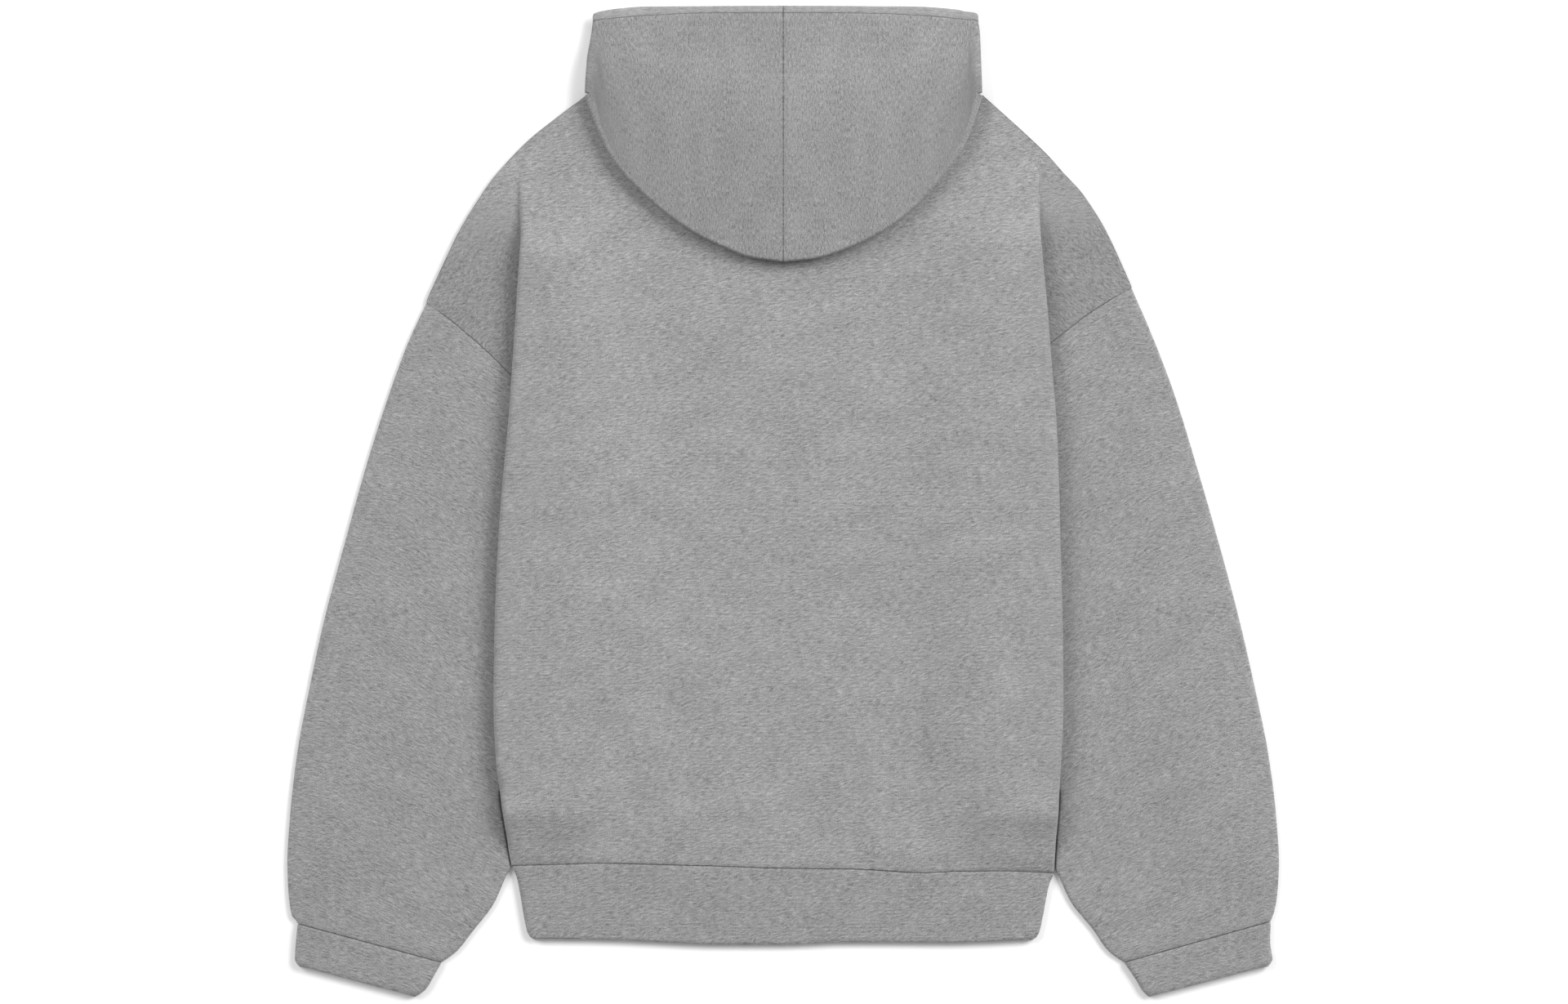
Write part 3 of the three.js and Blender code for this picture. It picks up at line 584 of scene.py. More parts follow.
def body_panel(name, above, neck_up, neck_lift, step, raised):
    left = body_half("left", above, neck_up, neck_lift)
    right = body_half("right", above, neck_up, neck_lift)
    grid = np.concatenate([left[:, :0:-1], right], axis=1)
    centre = left.shape[1] - 1
    grid, rows = refine(grid, 0, step)
    grid, columns = refine(grid, 1, step, least=2)
    no_wing = (rows[:, None] >= ARMPIT_ROW) & (np.abs(columns + 0.5 - centre) > TUCK_COLUMN)[None, :]
    if raised:
        number = np.append(columns, 2 * centre)
        on_top = np.abs(number + 0.5 - centre) < FLAT_COLUMNS + 1
        grid[..., 2] += on_top * raise_back(grid[..., 0], grid[..., 1])
    return wall(name, grid, CLOTH, ~no_wing), grid, ~no_wing


# Soft folds on the back: a trough or ridge from one place to another, its width and its height
CREASES = table(
    "from_x from_y to_x to_y width height",
    (0.076, -0.21, 0.076, -0.308, 0.008, 0.0022),
    (0.113, -0.16, 0.1215, -0.3, 0.009, -0.0018),
    (0.177, -0.24, 0.18, -0.3, 0.022, 0.002),
    (0.142, -0.296, 0.142, -0.302, 0.002, 0.0008),
    (-0.165, -0.16, -0.12, -0.265, 0.015, -0.0014),
    (-0.12, -0.17, -0.085, -0.28, 0.013, 0.001),
)
CREASE_ENDS = 3  # how fast a crease comes up from its end
# Slow unevenness of the lying cloth, as waves with a length, a heading, a height and a start
WAVES = table(
    "length heading height start",
    (0.21, 20, 0.0008, 0.6),
    (0.13, 75, 0.0005, 2.1),
    (0.087, 140, 0.0003, 4.0),
    (0.055, 50, 0.00018, 1.2),
    (0.041, 110, 0.00012, 5.1),
)
PUFF = {"height": 0.0003, "edge": 0.03, "from_fold": 0.008, "top": 0.232, "top_ramp": 0.05, "hem_ramp": 0.022}


def waves(x, y):
    """A slow uneven swell, between about -1 and 1 times the sum of the waves' heights."""
    total = np.zeros(np.shape(x))
    for length, heading, height, start in zip(*WAVES.values()):
        way = x * math.cos(math.radians(heading)) + y * math.sin(math.radians(heading))
        total += height * np.sin(2 * math.pi * way / length + start)
    return total


def crease_height(x, y):
    total = np.zeros(np.shape(x))
    for from_x, from_y, to_x, to_y, width, height in zip(*CREASES.values()):
        run = np.array([to_x - from_x, to_y - from_y])
        length = np.hypot(*run)
        share = ((x - from_x) * run[0] + (y - from_y) * run[1]) / length**2
        off = ((x - from_x) * run[1] - (y - from_y) * run[0]) / length
        ends = smooth(share * CREASE_ENDS + 0.5) * smooth((1 - share) * CREASE_ENDS + 0.5)
        total += height * ends * np.exp(-((off / width) ** 2))
    return total


def raise_back(x, y):
    """How far the back stands up off the front, with its soft creases, between its folds and its seams."""
    fold = np.where(
        x < 0, read(BODY_SIDES["left"], "up", y, "fold"), read(BODY_SIDES["right"], "up", y, "fold")
    )
    hem = read(HEM_SEAM, "across", x, "up")
    inside = smooth((fold - np.abs(x) - PUFF["from_fold"]) / PUFF["edge"])
    inside = inside * smooth((PUFF["top"] - y) / PUFF["top_ramp"]) * smooth((y - hem) / PUFF["hem_ramp"])
    height = bpy.context.scene.hoodie_shape.crease_depth
    return inside * (PUFF["height"] + height * (waves(x, y) + crease_height(x, y)))


# Tubes that lie flat: the sleeves, the cuffs and the hem band
def flat_ring(line, sign, thickness, crown, down):
    """A ring of a flattened tube: over the top from the outer edge to the inner one, and back underneath."""
    radius = (thickness + PITCH - CLOTH) / 2
    under = thickness / 2
    lengths = np.hypot(*np.diff(line, axis=0).T)
    along = np.concatenate([[0], np.cumsum(lengths)])
    quarter = radius * math.pi / 2

    def bulge(end, before):
        return end + radius * (end - before) / np.hypot(*(end - before))

    def points(places, z, along_at, down_at):
        z = np.broadcast_to(z, along_at.shape)
        return np.column_stack([places, z, along_at, down_at, np.zeros(len(z))])

    top = points(line, under + 2 * radius + crown, along, down)
    bottom = points(line, under, along, down)[::-1]
    inner = points(bulge(line[-1], line[-2])[None], under + radius, along[-1:] + quarter, down[-1:])
    outer = points(bulge(line[0], line[1])[None], under + radius, along[:1] - quarter, down[:1])
    ring = np.concatenate([top, inner, bottom, outer])
    return ring if sign < 0 else ring[::-1]


def ring_line(outer, inner, thickness):
    """Points from the outer to the inner edge of a tube, set in by the wall and its rounded edge."""
    inset = thickness / 2 + (thickness + PITCH - CLOTH) / 2
    along = (inner - outer) * inset / np.hypot(*(inner - outer))
    return lerp((outer + along)[None], (inner - along)[None], ACROSS[:, None])


def ring_lines(rows, sign, thickness):
    outer = np.column_stack([sign * rows["outer_out"], rows["outer_up"]])
    inner = np.column_stack([sign * rows["inner_out"], rows["inner_up"]])
    return [ring_line(a, b, thickness) for a, b in zip(outer, inner)]


def armhole_line(side):
    """The armhole seam on the wing's edge, from the shoulder's tip to the armpit, just off the wing."""
    sign = SIDES[side]
    rows = BODY_SIDES[side]
    seam = np.column_stack([sign * rows["edge"], rows["up"]])[TIP_ROW : ARMPIT_ROW + 1]
    seam = np.vstack([seam, seam[-1] + [sign * ARMPIT["out"], ARMPIT["up"]]])
    along = np.vstack([seam[1] - seam[0], seam[2:] - seam[:-2], seam[-1] - seam[-2]])
    along /= np.linalg.norm(along, axis=1, keepdims=True)
    away = sign * EDGE_GAP * np.column_stack([-along[:, 1], along[:, 0]])
    away[0] += along[0] * (CLOTH / 2 + PITCH / 2)
    return seam + away


def down_the_tube(lines):
    """How far each point is from the tube's lower end, along the tube."""
    steps = np.linalg.norm(np.diff(np.array(lines), axis=0), axis=2)
    return np.vstack([np.cumsum(steps[::-1], axis=0)[::-1], np.zeros(len(ACROSS))])


def sleeve(side, step):
    sign = SIDES[side]
    lines = [armhole_line(side), *ring_lines(SLEEVES[side], sign, CLOTH)]
    first = lines[0]
    straight = lerp(first[:1], first[-1:], ACROSS[:, None])
    for i in range(1, BOW_RINGS):
        lines[i] = lines[i] + (first - straight) * (1 - i / BOW_RINGS) ** 2
    last = len(lines) - 1
    crown = np.sin(math.pi * np.minimum(1, ACROSS / SLEEVE_CROWN["width"]))
    grid = np.array([
        flat_ring(line, sign, CLOTH, SLEEVE_CROWN["height"] * math.sin(math.pi * i / last) ** 2 * crown, down)
        for i, (line, down) in enumerate(zip(lines, down_the_tube(lines)))
    ])
    grid, _ = refine(grid, 0, step)
    grid, _ = refine(grid, 1, step, least=3, closed=True)
    return wall(f"sleeve_{side}_cloth", grid, CLOTH, closed=True), grid, None


def cuff(side, step):
    sign = SIDES[side]
    lines = ring_lines(CUFFS[side], sign, DOUBLED)
    crown = np.zeros(len(ACROSS))
    downs = down_the_tube(lines)
    grid = np.array([flat_ring(line, sign, DOUBLED, crown, down) for line, down in zip(lines, downs)])
    grid, _ = refine(grid, 0, step)
    grid, _ = refine(grid, 1, step, least=3, closed=True)
    return wall(f"cuff_{side}_band", grid, DOUBLED, closed=True, folded_end=True), grid, None


def hem_band(step):
    halves = {side: body_sections(side)[-1, : FLAT_COLUMNS + 1, 0] / BAND_SIDES["out"][0] for side in SIDES}
    across = np.concatenate([[-1], -halves["left"][::-1], halves["right"][1:], [1]])
    inset = DOUBLED / 2 + (DOUBLED + PITCH - CLOTH) / 2
    top = read(HEM_SEAM, "across", across * BAND_SIDES["out"][0], "up") - HEM_GAP
    rings = []
    for share, out in zip(BAND_SIDES["share"], BAND_SIDES["out"]):
        x = across * np.where(np.abs(across) == 1, out - inset, out)
        y = lerp(top, read(BAND_EDGE, "across", x, "up"), share)
        rings.append(flat_ring(np.column_stack([x, y]), -1, DOUBLED, np.zeros(len(x)), y))
    grid, _ = refine(np.array(rings), 0, step)
    grid, _ = refine(grid, 1, step, least=3, closed=True)
    return wall("hem_band_cloth", grid, DOUBLED, closed=True, folded_end=True), grid, None


# The hood: its top layer, its turn under at the round lower fold, and its turn under at the side
HOOD_ROWS = 6
HOOD_UNDER_STEPS = 3
HOOD_TURN_STEPS = 4
HALF_TURN = math.pi * (0.5 - np.arange(1, HOOD_TURN_STEPS + 1) / HOOD_TURN_STEPS)


def front_edge(out):
    return lerp(HOOD_FRONT["edge"], RIM_EDGE["up"][-1], out / RIM_EDGE["out"][-1])


def hood_height(out, up):
    """Height of the middle of the hood's top layer: lower between the folds at the face opening, and up
    over the neck and the hood's own under layer."""
    sag = HOOD_SAG["length"]
    full = lerp(HOOD_TOP_AT_RIM, HOOD_TOP, smooth((HOOD_RISE["up"] - up) / HOOD_RISE["length"]))
    over_front = smooth(1 + (front_edge(out) - up) * HOOD_SAG["edge_slope"] / sag)
    over_neck = smooth((back_neck(out) + sag + HOOD_SAG["neck_clear"] - up) / sag)
    share = 1 - HOOD_SAG["depth"] * (1 - over_front) * (1 - over_neck)
    return FLOOR_DOUBLED + (full - FLOOR_DOUBLED) * share


def side_reach(up, out, to_neck):
    """How far out the side fold reaches. to_neck is the share of the way from the rim to the neck."""
    return lerp((hood_height(out, up) - FLOOR_DOUBLED) / 2, NECK_TURN, to_neck)


def side_start(side, up, to_neck):
    """Where the top layer starts to turn at the side, set in from the outline by the fold and the wall."""
    out = read(HOOD_SIDE[side], "up", up, "out")
    return out - side_reach(up, out, to_neck) - DOUBLED / 2


def hood_line(out, up, front_up, drop, curve=1, to_neck=0):
    """One line of the hood from the centre out, round the side fold, and in along the surface. drop is how
    far it comes down as it turns under."""
    height = hood_height(out, up)
    along = math.sin(math.pi * lerp(HOOD_CROWN["at_rim"], 1, to_neck))
    crown = HOOD_CROWN["height"] * along * (1 - (out / out[-1]) ** 2)
    radius = (height[-1] - FLOOR_DOUBLED) / 2
    turn = np.column_stack([
        out[-1] + side_reach(up[-1], out[-1], to_neck) * crisp(np.cos(HALF_TURN)),
        up[-1] - drop * (1 - np.sin(HALF_TURN)) / 2,
        FLOOR_DOUBLED + radius + radius * crisp(np.sin(HALF_TURN)),
    ])
    width = lerp(out[-1], NECK["out"], to_neck)
    under = np.column_stack([
        np.maximum(NECK_COLUMNS, HALF_SEAM),
        lerp(front_up, up[-1] - drop, (NECK_COLUMNS / width) ** curve),
        np.full(len(NECK_COLUMNS), FLOOR_DOUBLED),
    ])
    return np.concatenate([np.column_stack([out, up, height + crown]), turn, under])


def rim_line(side, rows, gap):
    """The rim's edge or its seam, from the centre to the side, moved down by a gap."""
    fold = HOOD_FOLD[side]
    reach = side_start(side, rows["up"][-1] - gap, 0)
    out = np.maximum(HALF_SEAM, reach * fold["out"] / fold["out"][-1])
    return out, read(rows, "out", out, "up") - gap


def hood_fold_starts(side):
    """Where the top layer starts to turn under at the lower fold, and which way is out there."""
    fold = HOOD_FOLD[side]
    places = np.column_stack([fold["out"], fold["up"]])
    run = np.vstack([places[1] - places[0], places[2:] - places[:-2], places[-1] - places[-2]])
    away = np.column_stack([run[:, 1], -run[:, 0]])
    away /= np.linalg.norm(away, axis=1, keepdims=True)
    away[0] = (0, -1)
    starts = places - away * (HOOD_FOLD_RADIUS + DOUBLED / 2)
    starts[-1] = (side_start(side, HOOD_NECK_UP, 1), HOOD_NECK_UP)
    away[-1] = HOOD_CORNER["away"]
    return starts, away


def path_lengths(points, axis):
    steps = np.linalg.norm(np.diff(points, axis=axis), axis=2)
    pad = [(1, 0), (0, 0)] if axis == 0 else [(0, 0), (1, 0)]
    return np.pad(np.cumsum(steps, axis=axis), pad)


def hood_half(side, step):
    sign = SIDES[side]
    seam_out, seam_up = rim_line(side, RIM_SEAM, SEAM_GAP)
    starts, away = hood_fold_starts(side)
    corner = len(starts) - 1
    along_line = (np.arange(corner + 1) / corner) ** 3
    lines = []
    for share in np.arange(HOOD_ROWS + 1) / HOOD_ROWS:
        side_up = lerp(seam_up[-1], HOOD_NECK_UP, share)
        bow = side_start(side, side_up, share) - lerp(seam_out[-1], starts[corner, 0], share)
        out = lerp(seam_out, starts[:, 0], share) + bow * along_line
        up = lerp(seam_up, starts[:, 1], share)
        front_up = lerp(HOOD_FRONT["seam"] - SEAM_GAP, HOOD_FRONT["neck"], share)
        drop = lerp(SIDE_DROP["hood"], SIDE_DROP["neck"], share)
        lines.append(hood_line(out, up, front_up, drop, lerp(1, NECK["curve"], share), share))
    width = len(lines[0])
    for angle in HALF_TURN:
        places = starts + away * HOOD_FOLD_RADIUS * crisp(math.cos(angle))
        z = np.full(corner + 1, HOOD_UNDER + HOOD_FOLD_RADIUS * (1 + crisp(math.sin(angle))))
        lines.append(np.column_stack([places, z]))
    ends = np.column_stack([np.maximum(HALF_SEAM, starts[:, 0] * HOOD_UNDER_SPREAD), np.zeros(corner + 1)])
    ends[:, 1] = back_neck(ends[:, 0])
    ends[corner] = starts[corner] + [HOOD_CORNER["end_out"], HOOD_CORNER["end_up"]]
    for j in range(1, HOOD_UNDER_STEPS + 1):
        places = lerp(starts, ends, j / HOOD_UNDER_STEPS)
        lines.append(np.column_stack([places, np.full(corner + 1, HOOD_UNDER)]))
    points = np.array([np.vstack([line, np.repeat(line[-1:], width - len(line), axis=0)]) for line in lines])
    down = np.vstack([np.zeros((HOOD_ROWS, width)), path_lengths(points[HOOD_ROWS:], 0)])
    top_up = points[: HOOD_ROWS + 1, :, 1]
    along = np.vstack([top_up, np.repeat(top_up[-1:], len(lines) - len(top_up), axis=0)])
    grid = np.dstack([points, along - down, path_lengths(points, 1), np.zeros(points.shape[:2])])
    grid, rows = refine(grid, 0, step, least=2)
    grid, columns = refine(grid, 1, step, least=2)
    cells = (rows[:, None] < HOOD_ROWS) | (columns < corner)[None, :]
    return wall(f"hood_{side}_cloth", *on_side(grid, sign, DOUBLED, cells)), grid, cells


def on_side(grid, sign, thickness, cells=None):
    """Puts a grid drawn out from the centre on its own side, with its faces the right way round."""
    placed = grid * np.array([sign, 1, 1, 1, 1, 1])
    if sign > 0:
        return placed, thickness, cells
    return placed[:, ::-1], thickness, None if cells is None else cells[:, ::-1]


def hood_rim(side, step):
    sign = SIDES[side]
    edge = hood_line(*rim_line(side, RIM_EDGE, 0), HOOD_FRONT["edge"], SIDE_DROP["edge"])
    seam = hood_line(*rim_line(side, RIM_SEAM, 0), HOOD_FRONT["seam"], SIDE_DROP["seam"])
    points = np.array([seam, edge])[:, ::-1]  # so that its last row is the fold at the opening
    grid = np.dstack([points, path_lengths(points, 1), path_lengths(points, 0), np.zeros(points.shape[:2])])
    grid, _ = refine(grid, 0, step / 2)
    grid, _ = refine(grid, 1, step, least=2)
    return wall(f"hood_rim_{side}_strip", *on_side(grid, sign, DOUBLED), folded_end=True), grid, None


# Shader node groups
GREY = (0.3, 0.3, 0.3, 1)
# Detail and roughness of the noises
PLAIN_NOISE = (1, 0.5)
LAYERED_NOISE = (2, 0.5)
FIBRE_NOISE = (2, 0.6)
FUZZ_NOISE = (2, 0.7)
NOISE_MIDDLE = 0.5


def new_group(name, inputs, outputs):
    """A shader node group with named sockets, and its input and output nodes."""
    group = bpy.data.node_groups.new(name, "ShaderNodeTree")
    for label, kind, default in inputs:
        socket = group.interface.new_socket(label, in_out="INPUT", socket_type=f"NodeSocket{kind}")
        if default is not None:
            socket.default_value = default
    for label, kind in outputs:
        group.interface.new_socket(label, in_out="OUTPUT", socket_type=f"NodeSocket{kind}")
    return group, group.nodes.new("NodeGroupInput"), group.nodes.new("NodeGroupOutput")


def math_node(tree, operation, *values):
    node = tree.nodes.new("ShaderNodeMath")
    node.operation = operation
    for socket, value in zip(node.inputs, values):
        feed(tree, value, socket)
    return node.outputs[0]


def vector_node(tree, operation, *values):
    node = tree.nodes.new("ShaderNodeVectorMath")
    node.operation = operation
    for socket, value in zip(node.inputs, values):
        feed(tree, value, socket)
    return node.outputs[0]


def feed(tree, value, socket):
    """Links a socket to an input, or sets the input to a plain value."""
    if isinstance(value, bpy.types.NodeSocket):
        tree.links.new(value, socket)
    else:
        socket.default_value = value


def noise(tree, vector, detail, roughness):
    """A noise about 0, between -0.5 and 0.5, one cell for each unit of the vector."""
    node = tree.nodes.new("ShaderNodeTexNoise")
    node.noise_dimensions = "2D"
    feed(tree, vector, node.inputs["Vector"])
    values = {"Scale": 1.0, "Detail": detail, "Roughness": roughness, "Distortion": 0.0}
    for name, value in values.items():
        node.inputs[name].default_value = value
    return math_node(tree, "SUBTRACT", node.outputs["Fac"], NOISE_MIDDLE)


def scaled(tree, vector, along, across):
    """The cloth's coordinates counted in cells of the given length and width."""
    size = tree.nodes.new("ShaderNodeCombineXYZ")
    feed(tree, along, size.inputs["X"])
    feed(tree, across, size.inputs["Y"])
    size.inputs["Z"].default_value = 1.0
    return vector_node(tree, "DIVIDE", vector, size.outputs[0])


# The marl on top of its long fibres: sizes in metres, and each part's share of the contrast
MARL = {
    "sway_cell": (0.02, 0.012),
    "sway": 0.006,
    "fine": 0.47,
    "fine_share": 0.6,
    "fine_start": (0.31, 0.17, 0),
    "speck": 0.0011,
    "speck_share": 0.6,
    "cloud": (0.045, 0.02),
    "cloud_share": 0.22,
}


def marled_yarn():
    """Marled yarn: short light and dark fibres that run along the courses of the knit."""
    group, start, end = new_group(
        "Marled yarn",
        [
            ("Cut", "Vector", None),
            ("Color", "Color", GREY),
            ("Turn", "Float", 0.0),
            ("Fibre Length", "Float", 0.009),
            ("Fibre Width", "Float", 0.0012),
            ("Contrast", "Float", 0.5),
        ],
        [("Color", "Color"), ("Fibres", "Float")],
    )
    values = start.outputs
    turn = group.nodes.new("ShaderNodeVectorRotate")
    turn.rotation_type = "Z_AXIS"
    feed(group, values["Cut"], turn.inputs["Vector"])
    feed(group, values["Turn"], turn.inputs["Angle"])
    flat = vector_node(group, "MULTIPLY", turn.outputs[0], (1, 1, 0))
    sway = noise(group, scaled(group, flat, *MARL["sway_cell"]), *PLAIN_NOISE)
    shift = group.nodes.new("ShaderNodeCombineXYZ")
    feed(group, math_node(group, "MULTIPLY", sway, MARL["sway"]), shift.inputs["Y"])
    swayed = vector_node(group, "ADD", flat, shift.outputs[0])
    fibre = [values[n] for n in ("Fibre Length", "Fibre Width")]
    long_fibres = noise(group, scaled(group, swayed, *fibre), *FIBRE_NOISE)
    short = [math_node(group, "MULTIPLY", size, MARL["fine"]) for size in fibre]
    apart = vector_node(group, "ADD", swayed, MARL["fine_start"])
    short_fibres = noise(group, scaled(group, apart, *short), *PLAIN_NOISE)
    specks = noise(group, scaled(group, flat, MARL["speck"], MARL["speck"]), *PLAIN_NOISE)
    clouds = noise(group, scaled(group, flat, *MARL["cloud"]), *LAYERED_NOISE)
    fibres = math_node(group, "MULTIPLY_ADD", short_fibres, MARL["fine_share"], long_fibres)
    fibres = math_node(group, "MULTIPLY_ADD", specks, MARL["speck_share"], fibres)
    shade = math_node(group, "MULTIPLY_ADD", clouds, MARL["cloud_share"], fibres)
    gain = math_node(group, "MULTIPLY_ADD", shade, values["Contrast"], 1.0)
    coloured = vector_node(group, "SCALE", values["Color"])
    feed(group, gain, coloured.node.inputs["Scale"])
    feed(group, coloured, end.inputs["Color"])
    feed(group, fibres, end.inputs["Fibres"])
    return group


# The stitches and the loose fibres, as shares of the nap's height
KNIT = {"fibre_share": 0.55, "stitch_share": 0.28, "lean": 1.4, "fuzz_share": 0.5, "fuzz": 0.0007}


def jersey_face():
    """The face of a fine jersey: rows of small stitches under loose fibres."""
    group, start, end = new_group(
        "Jersey face",
        [
            ("Cut", "Vector", None),
            ("Fibres", "Float", 0.0),
            ("Wale", "Float", 0.0012),
            ("Course", "Float", 0.0009),
        ],
        [("Height", "Float")],
    )
    values = start.outputs
    flat = vector_node(group, "MULTIPLY", values["Cut"], (1, 1, 0))
    cells = vector_node(group, "SCALE", scaled(group, flat, values["Wale"], values["Course"]))
    cells.node.inputs["Scale"].default_value = 2 * math.pi
    parts = group.nodes.new("ShaderNodeSeparateXYZ")
    feed(group, cells, parts.inputs[0])
    wale = math_node(group, "COSINE", parts.outputs["X"])
    rib = math_node(group, "ABSOLUTE", wale)
    lean = math_node(group, "MULTIPLY_ADD", rib, KNIT["lean"], parts.outputs["Y"])
    stitch = math_node(group, "MULTIPLY", math_node(group, "SINE", lean), rib)
    fuzz = noise(group, scaled(group, flat, KNIT["fuzz"], KNIT["fuzz"]), *FUZZ_NOISE)
    height = math_node(group, "MULTIPLY", values["Fibres"], KNIT["fibre_share"])
    height = math_node(group, "MULTIPLY_ADD", stitch, KNIT["stitch_share"], height)
    height = math_node(group, "MULTIPLY_ADD", fuzz, KNIT["fuzz_share"], height)
    feed(group, height, end.inputs["Height"])
    return group


# How the fleece takes the light
FINISH = {"Roughness": 0.92, "Specular IOR Level": 0.15, "Sheen Roughness": 0.6}
SEAM_ROUGHER = 0.05


def seam_painted_shade():
    """Painted shade: the cloth's colour is made darker down in a seam's groove, where shade falls, and its
    roughness a little higher.
    """
    group, start, end = new_group(
        "Seam painted shade",
        [("Color", "Color", GREY), ("Depth", "Float", 0.0), ("Shade", "Float", 0.5)],
        [("Color", "Color"), ("Roughness", "Float")],
    )
    values = start.outputs
    dark = math_node(group, "MULTIPLY", values["Depth"], values["Shade"])
    coloured = vector_node(group, "SCALE", values["Color"])
    feed(group, math_node(group, "SUBTRACT", 1.0, dark), coloured.node.inputs["Scale"])
    feed(group, coloured, end.inputs["Color"])
    rough = math_node(group, "MULTIPLY_ADD", dark, SEAM_ROUGHER, FINISH["Roughness"])
    feed(group, rough, end.inputs["Roughness"])
    return group


def group_node(tree, group, **values):
    node = tree.nodes.new("ShaderNodeGroup")
    node.node_tree = group
    for name, value in values.items():
        feed(tree, value, node.inputs[name.replace("_", " ")])
    return node


def shared_groups():
    """The node groups, built once for all the materials."""
    made = {"yarn": marled_yarn, "face": jersey_face, "seam": seam_painted_shade}
    names = {"yarn": "Marled yarn", "face": "Jersey face", "seam": "Seam painted shade"}
    return {key: bpy.data.node_groups.get(names[key]) or make() for key, make in made.items()}


def attribute_node(tree, name):
    node = tree.nodes.new("ShaderNodeAttribute")
    node.attribute_name = name
    return node


def marled_cloth(title, colour, turn=0.0, wing=None, fibre=None, seam_shade=None, plain=1.0):
    """A material of marled fleece. turn is how the marl runs on the cut, in radians, and wing is the darker
    colour of the shoulder wings, painted shade on the same fleece, and how the marl runs there, which is
    mirrored on the left one. plain is the share of the marl's contrast."""
    cloth = bpy.context.scene.hoodie_cloth
    length, width = fibre or (cloth.fibre_length, cloth.fibre_width)
    shade = cloth.seam_shade if seam_shade is None else seam_shade
    groups = shared_groups()
    material = bpy.data.materials.new(title)
    material.use_nodes = True
    tree = material.node_tree
    shader = tree.nodes["Principled BSDF"]
    cut = attribute_node(tree, "cut")
    look = {
        "Cut": cut.outputs["Vector"],
        "Fibre Length": length,
        "Fibre Width": width,
        "Contrast": cloth.contrast * plain,
    }
    yarn = group_node(tree, groups["yarn"], **look, Color=(*colour, 1), Turn=turn)
    colour_out, fibres = yarn.outputs["Color"], yarn.outputs["Fibres"]
    # Painted shade: the shoulder wings get a darker copy of the same fleece, mixed in past the tucks.
    if wing:
        wing_shaded_colour, wing_turn = wing
        parts = tree.nodes.new("ShaderNodeSeparateXYZ")
        feed(tree, cut.outputs["Vector"], parts.inputs[0])
        on_wing = math_node(tree, "ABSOLUTE", parts.outputs["Z"])
        mirrored = math_node(tree, "MULTIPLY", math_node(tree, "SIGN", parts.outputs["Z"]), wing_turn)
        wing_yarn = group_node(tree, groups["yarn"], **look, Color=(*wing_shaded_colour, 1), Turn=mirrored)
        colour_out = mixed(tree, "RGBA", on_wing, colour_out, wing_yarn.outputs["Color"])
        fibres = mixed(tree, "FLOAT", on_wing, fibres, wing_yarn.outputs["Fibres"])
    # Painted shade in the seams' grooves, from the seam attribute.
    depth = attribute_node(tree, "seam")
    seam = group_node(tree, groups["seam"], Color=colour_out, Depth=depth.outputs["Fac"], Shade=shade)
    face = group_node(tree, groups["face"], Cut=cut.outputs["Vector"], Fibres=fibres)
    bump = tree.nodes.new("ShaderNodeBump")
    bump.inputs["Strength"].default_value = 1.0
    bump.inputs["Distance"].default_value = cloth.nap
    feed(tree, face.outputs["Height"], bump.inputs["Height"])
    feed(tree, seam.outputs["Color"], shader.inputs["Base Color"])
    feed(tree, seam.outputs["Roughness"], shader.inputs["Roughness"])
    feed(tree, bump.outputs["Normal"], shader.inputs["Normal"])
    shader.inputs["Sheen Weight"].default_value = cloth.sheen
    for name in ("Specular IOR Level", "Sheen Roughness"):
        shader.inputs[name].default_value = FINISH[name]
    return material


def mixed(tree, kind, factor, first, second):
    node = tree.nodes.new("ShaderNodeMix")
    node.data_type = kind
    sockets = [s for s in node.inputs if s.enabled]
    feed(tree, factor, sockets[0])
    feed(tree, first, sockets[1])
    feed(tree, second, sockets[2])
    return next(s for s in node.outputs if s.enabled)


def dress(made, node, material):
    """Puts a piece in the place of its solid, with its material, and hides the solid."""
    piece, grid, cells = made
    piece.data.materials.append(material)
    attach(piece, BODY)
    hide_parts(node)


class HoodieShape(bpy.types.PropertyGroup):
    """Sizes of the hoodie's cloth."""

    step: bpy.props.FloatProperty(
        name="Mesh step",
        description="About how far apart the points of a piece are",
        default=0.004,
        min=0.002,
        unit="LENGTH",
    )
    crease_depth: bpy.props.FloatProperty(
        name="Crease depth",
        description="How deep the soft folds are, as a share of their stated heights",
        default=1.0,
        min=0.0,
    )


def colour_setting(name, description, grey):
    return bpy.props.FloatVectorProperty(
        name=name, description=description, default=(grey, grey, grey), subtype="COLOR"
    )


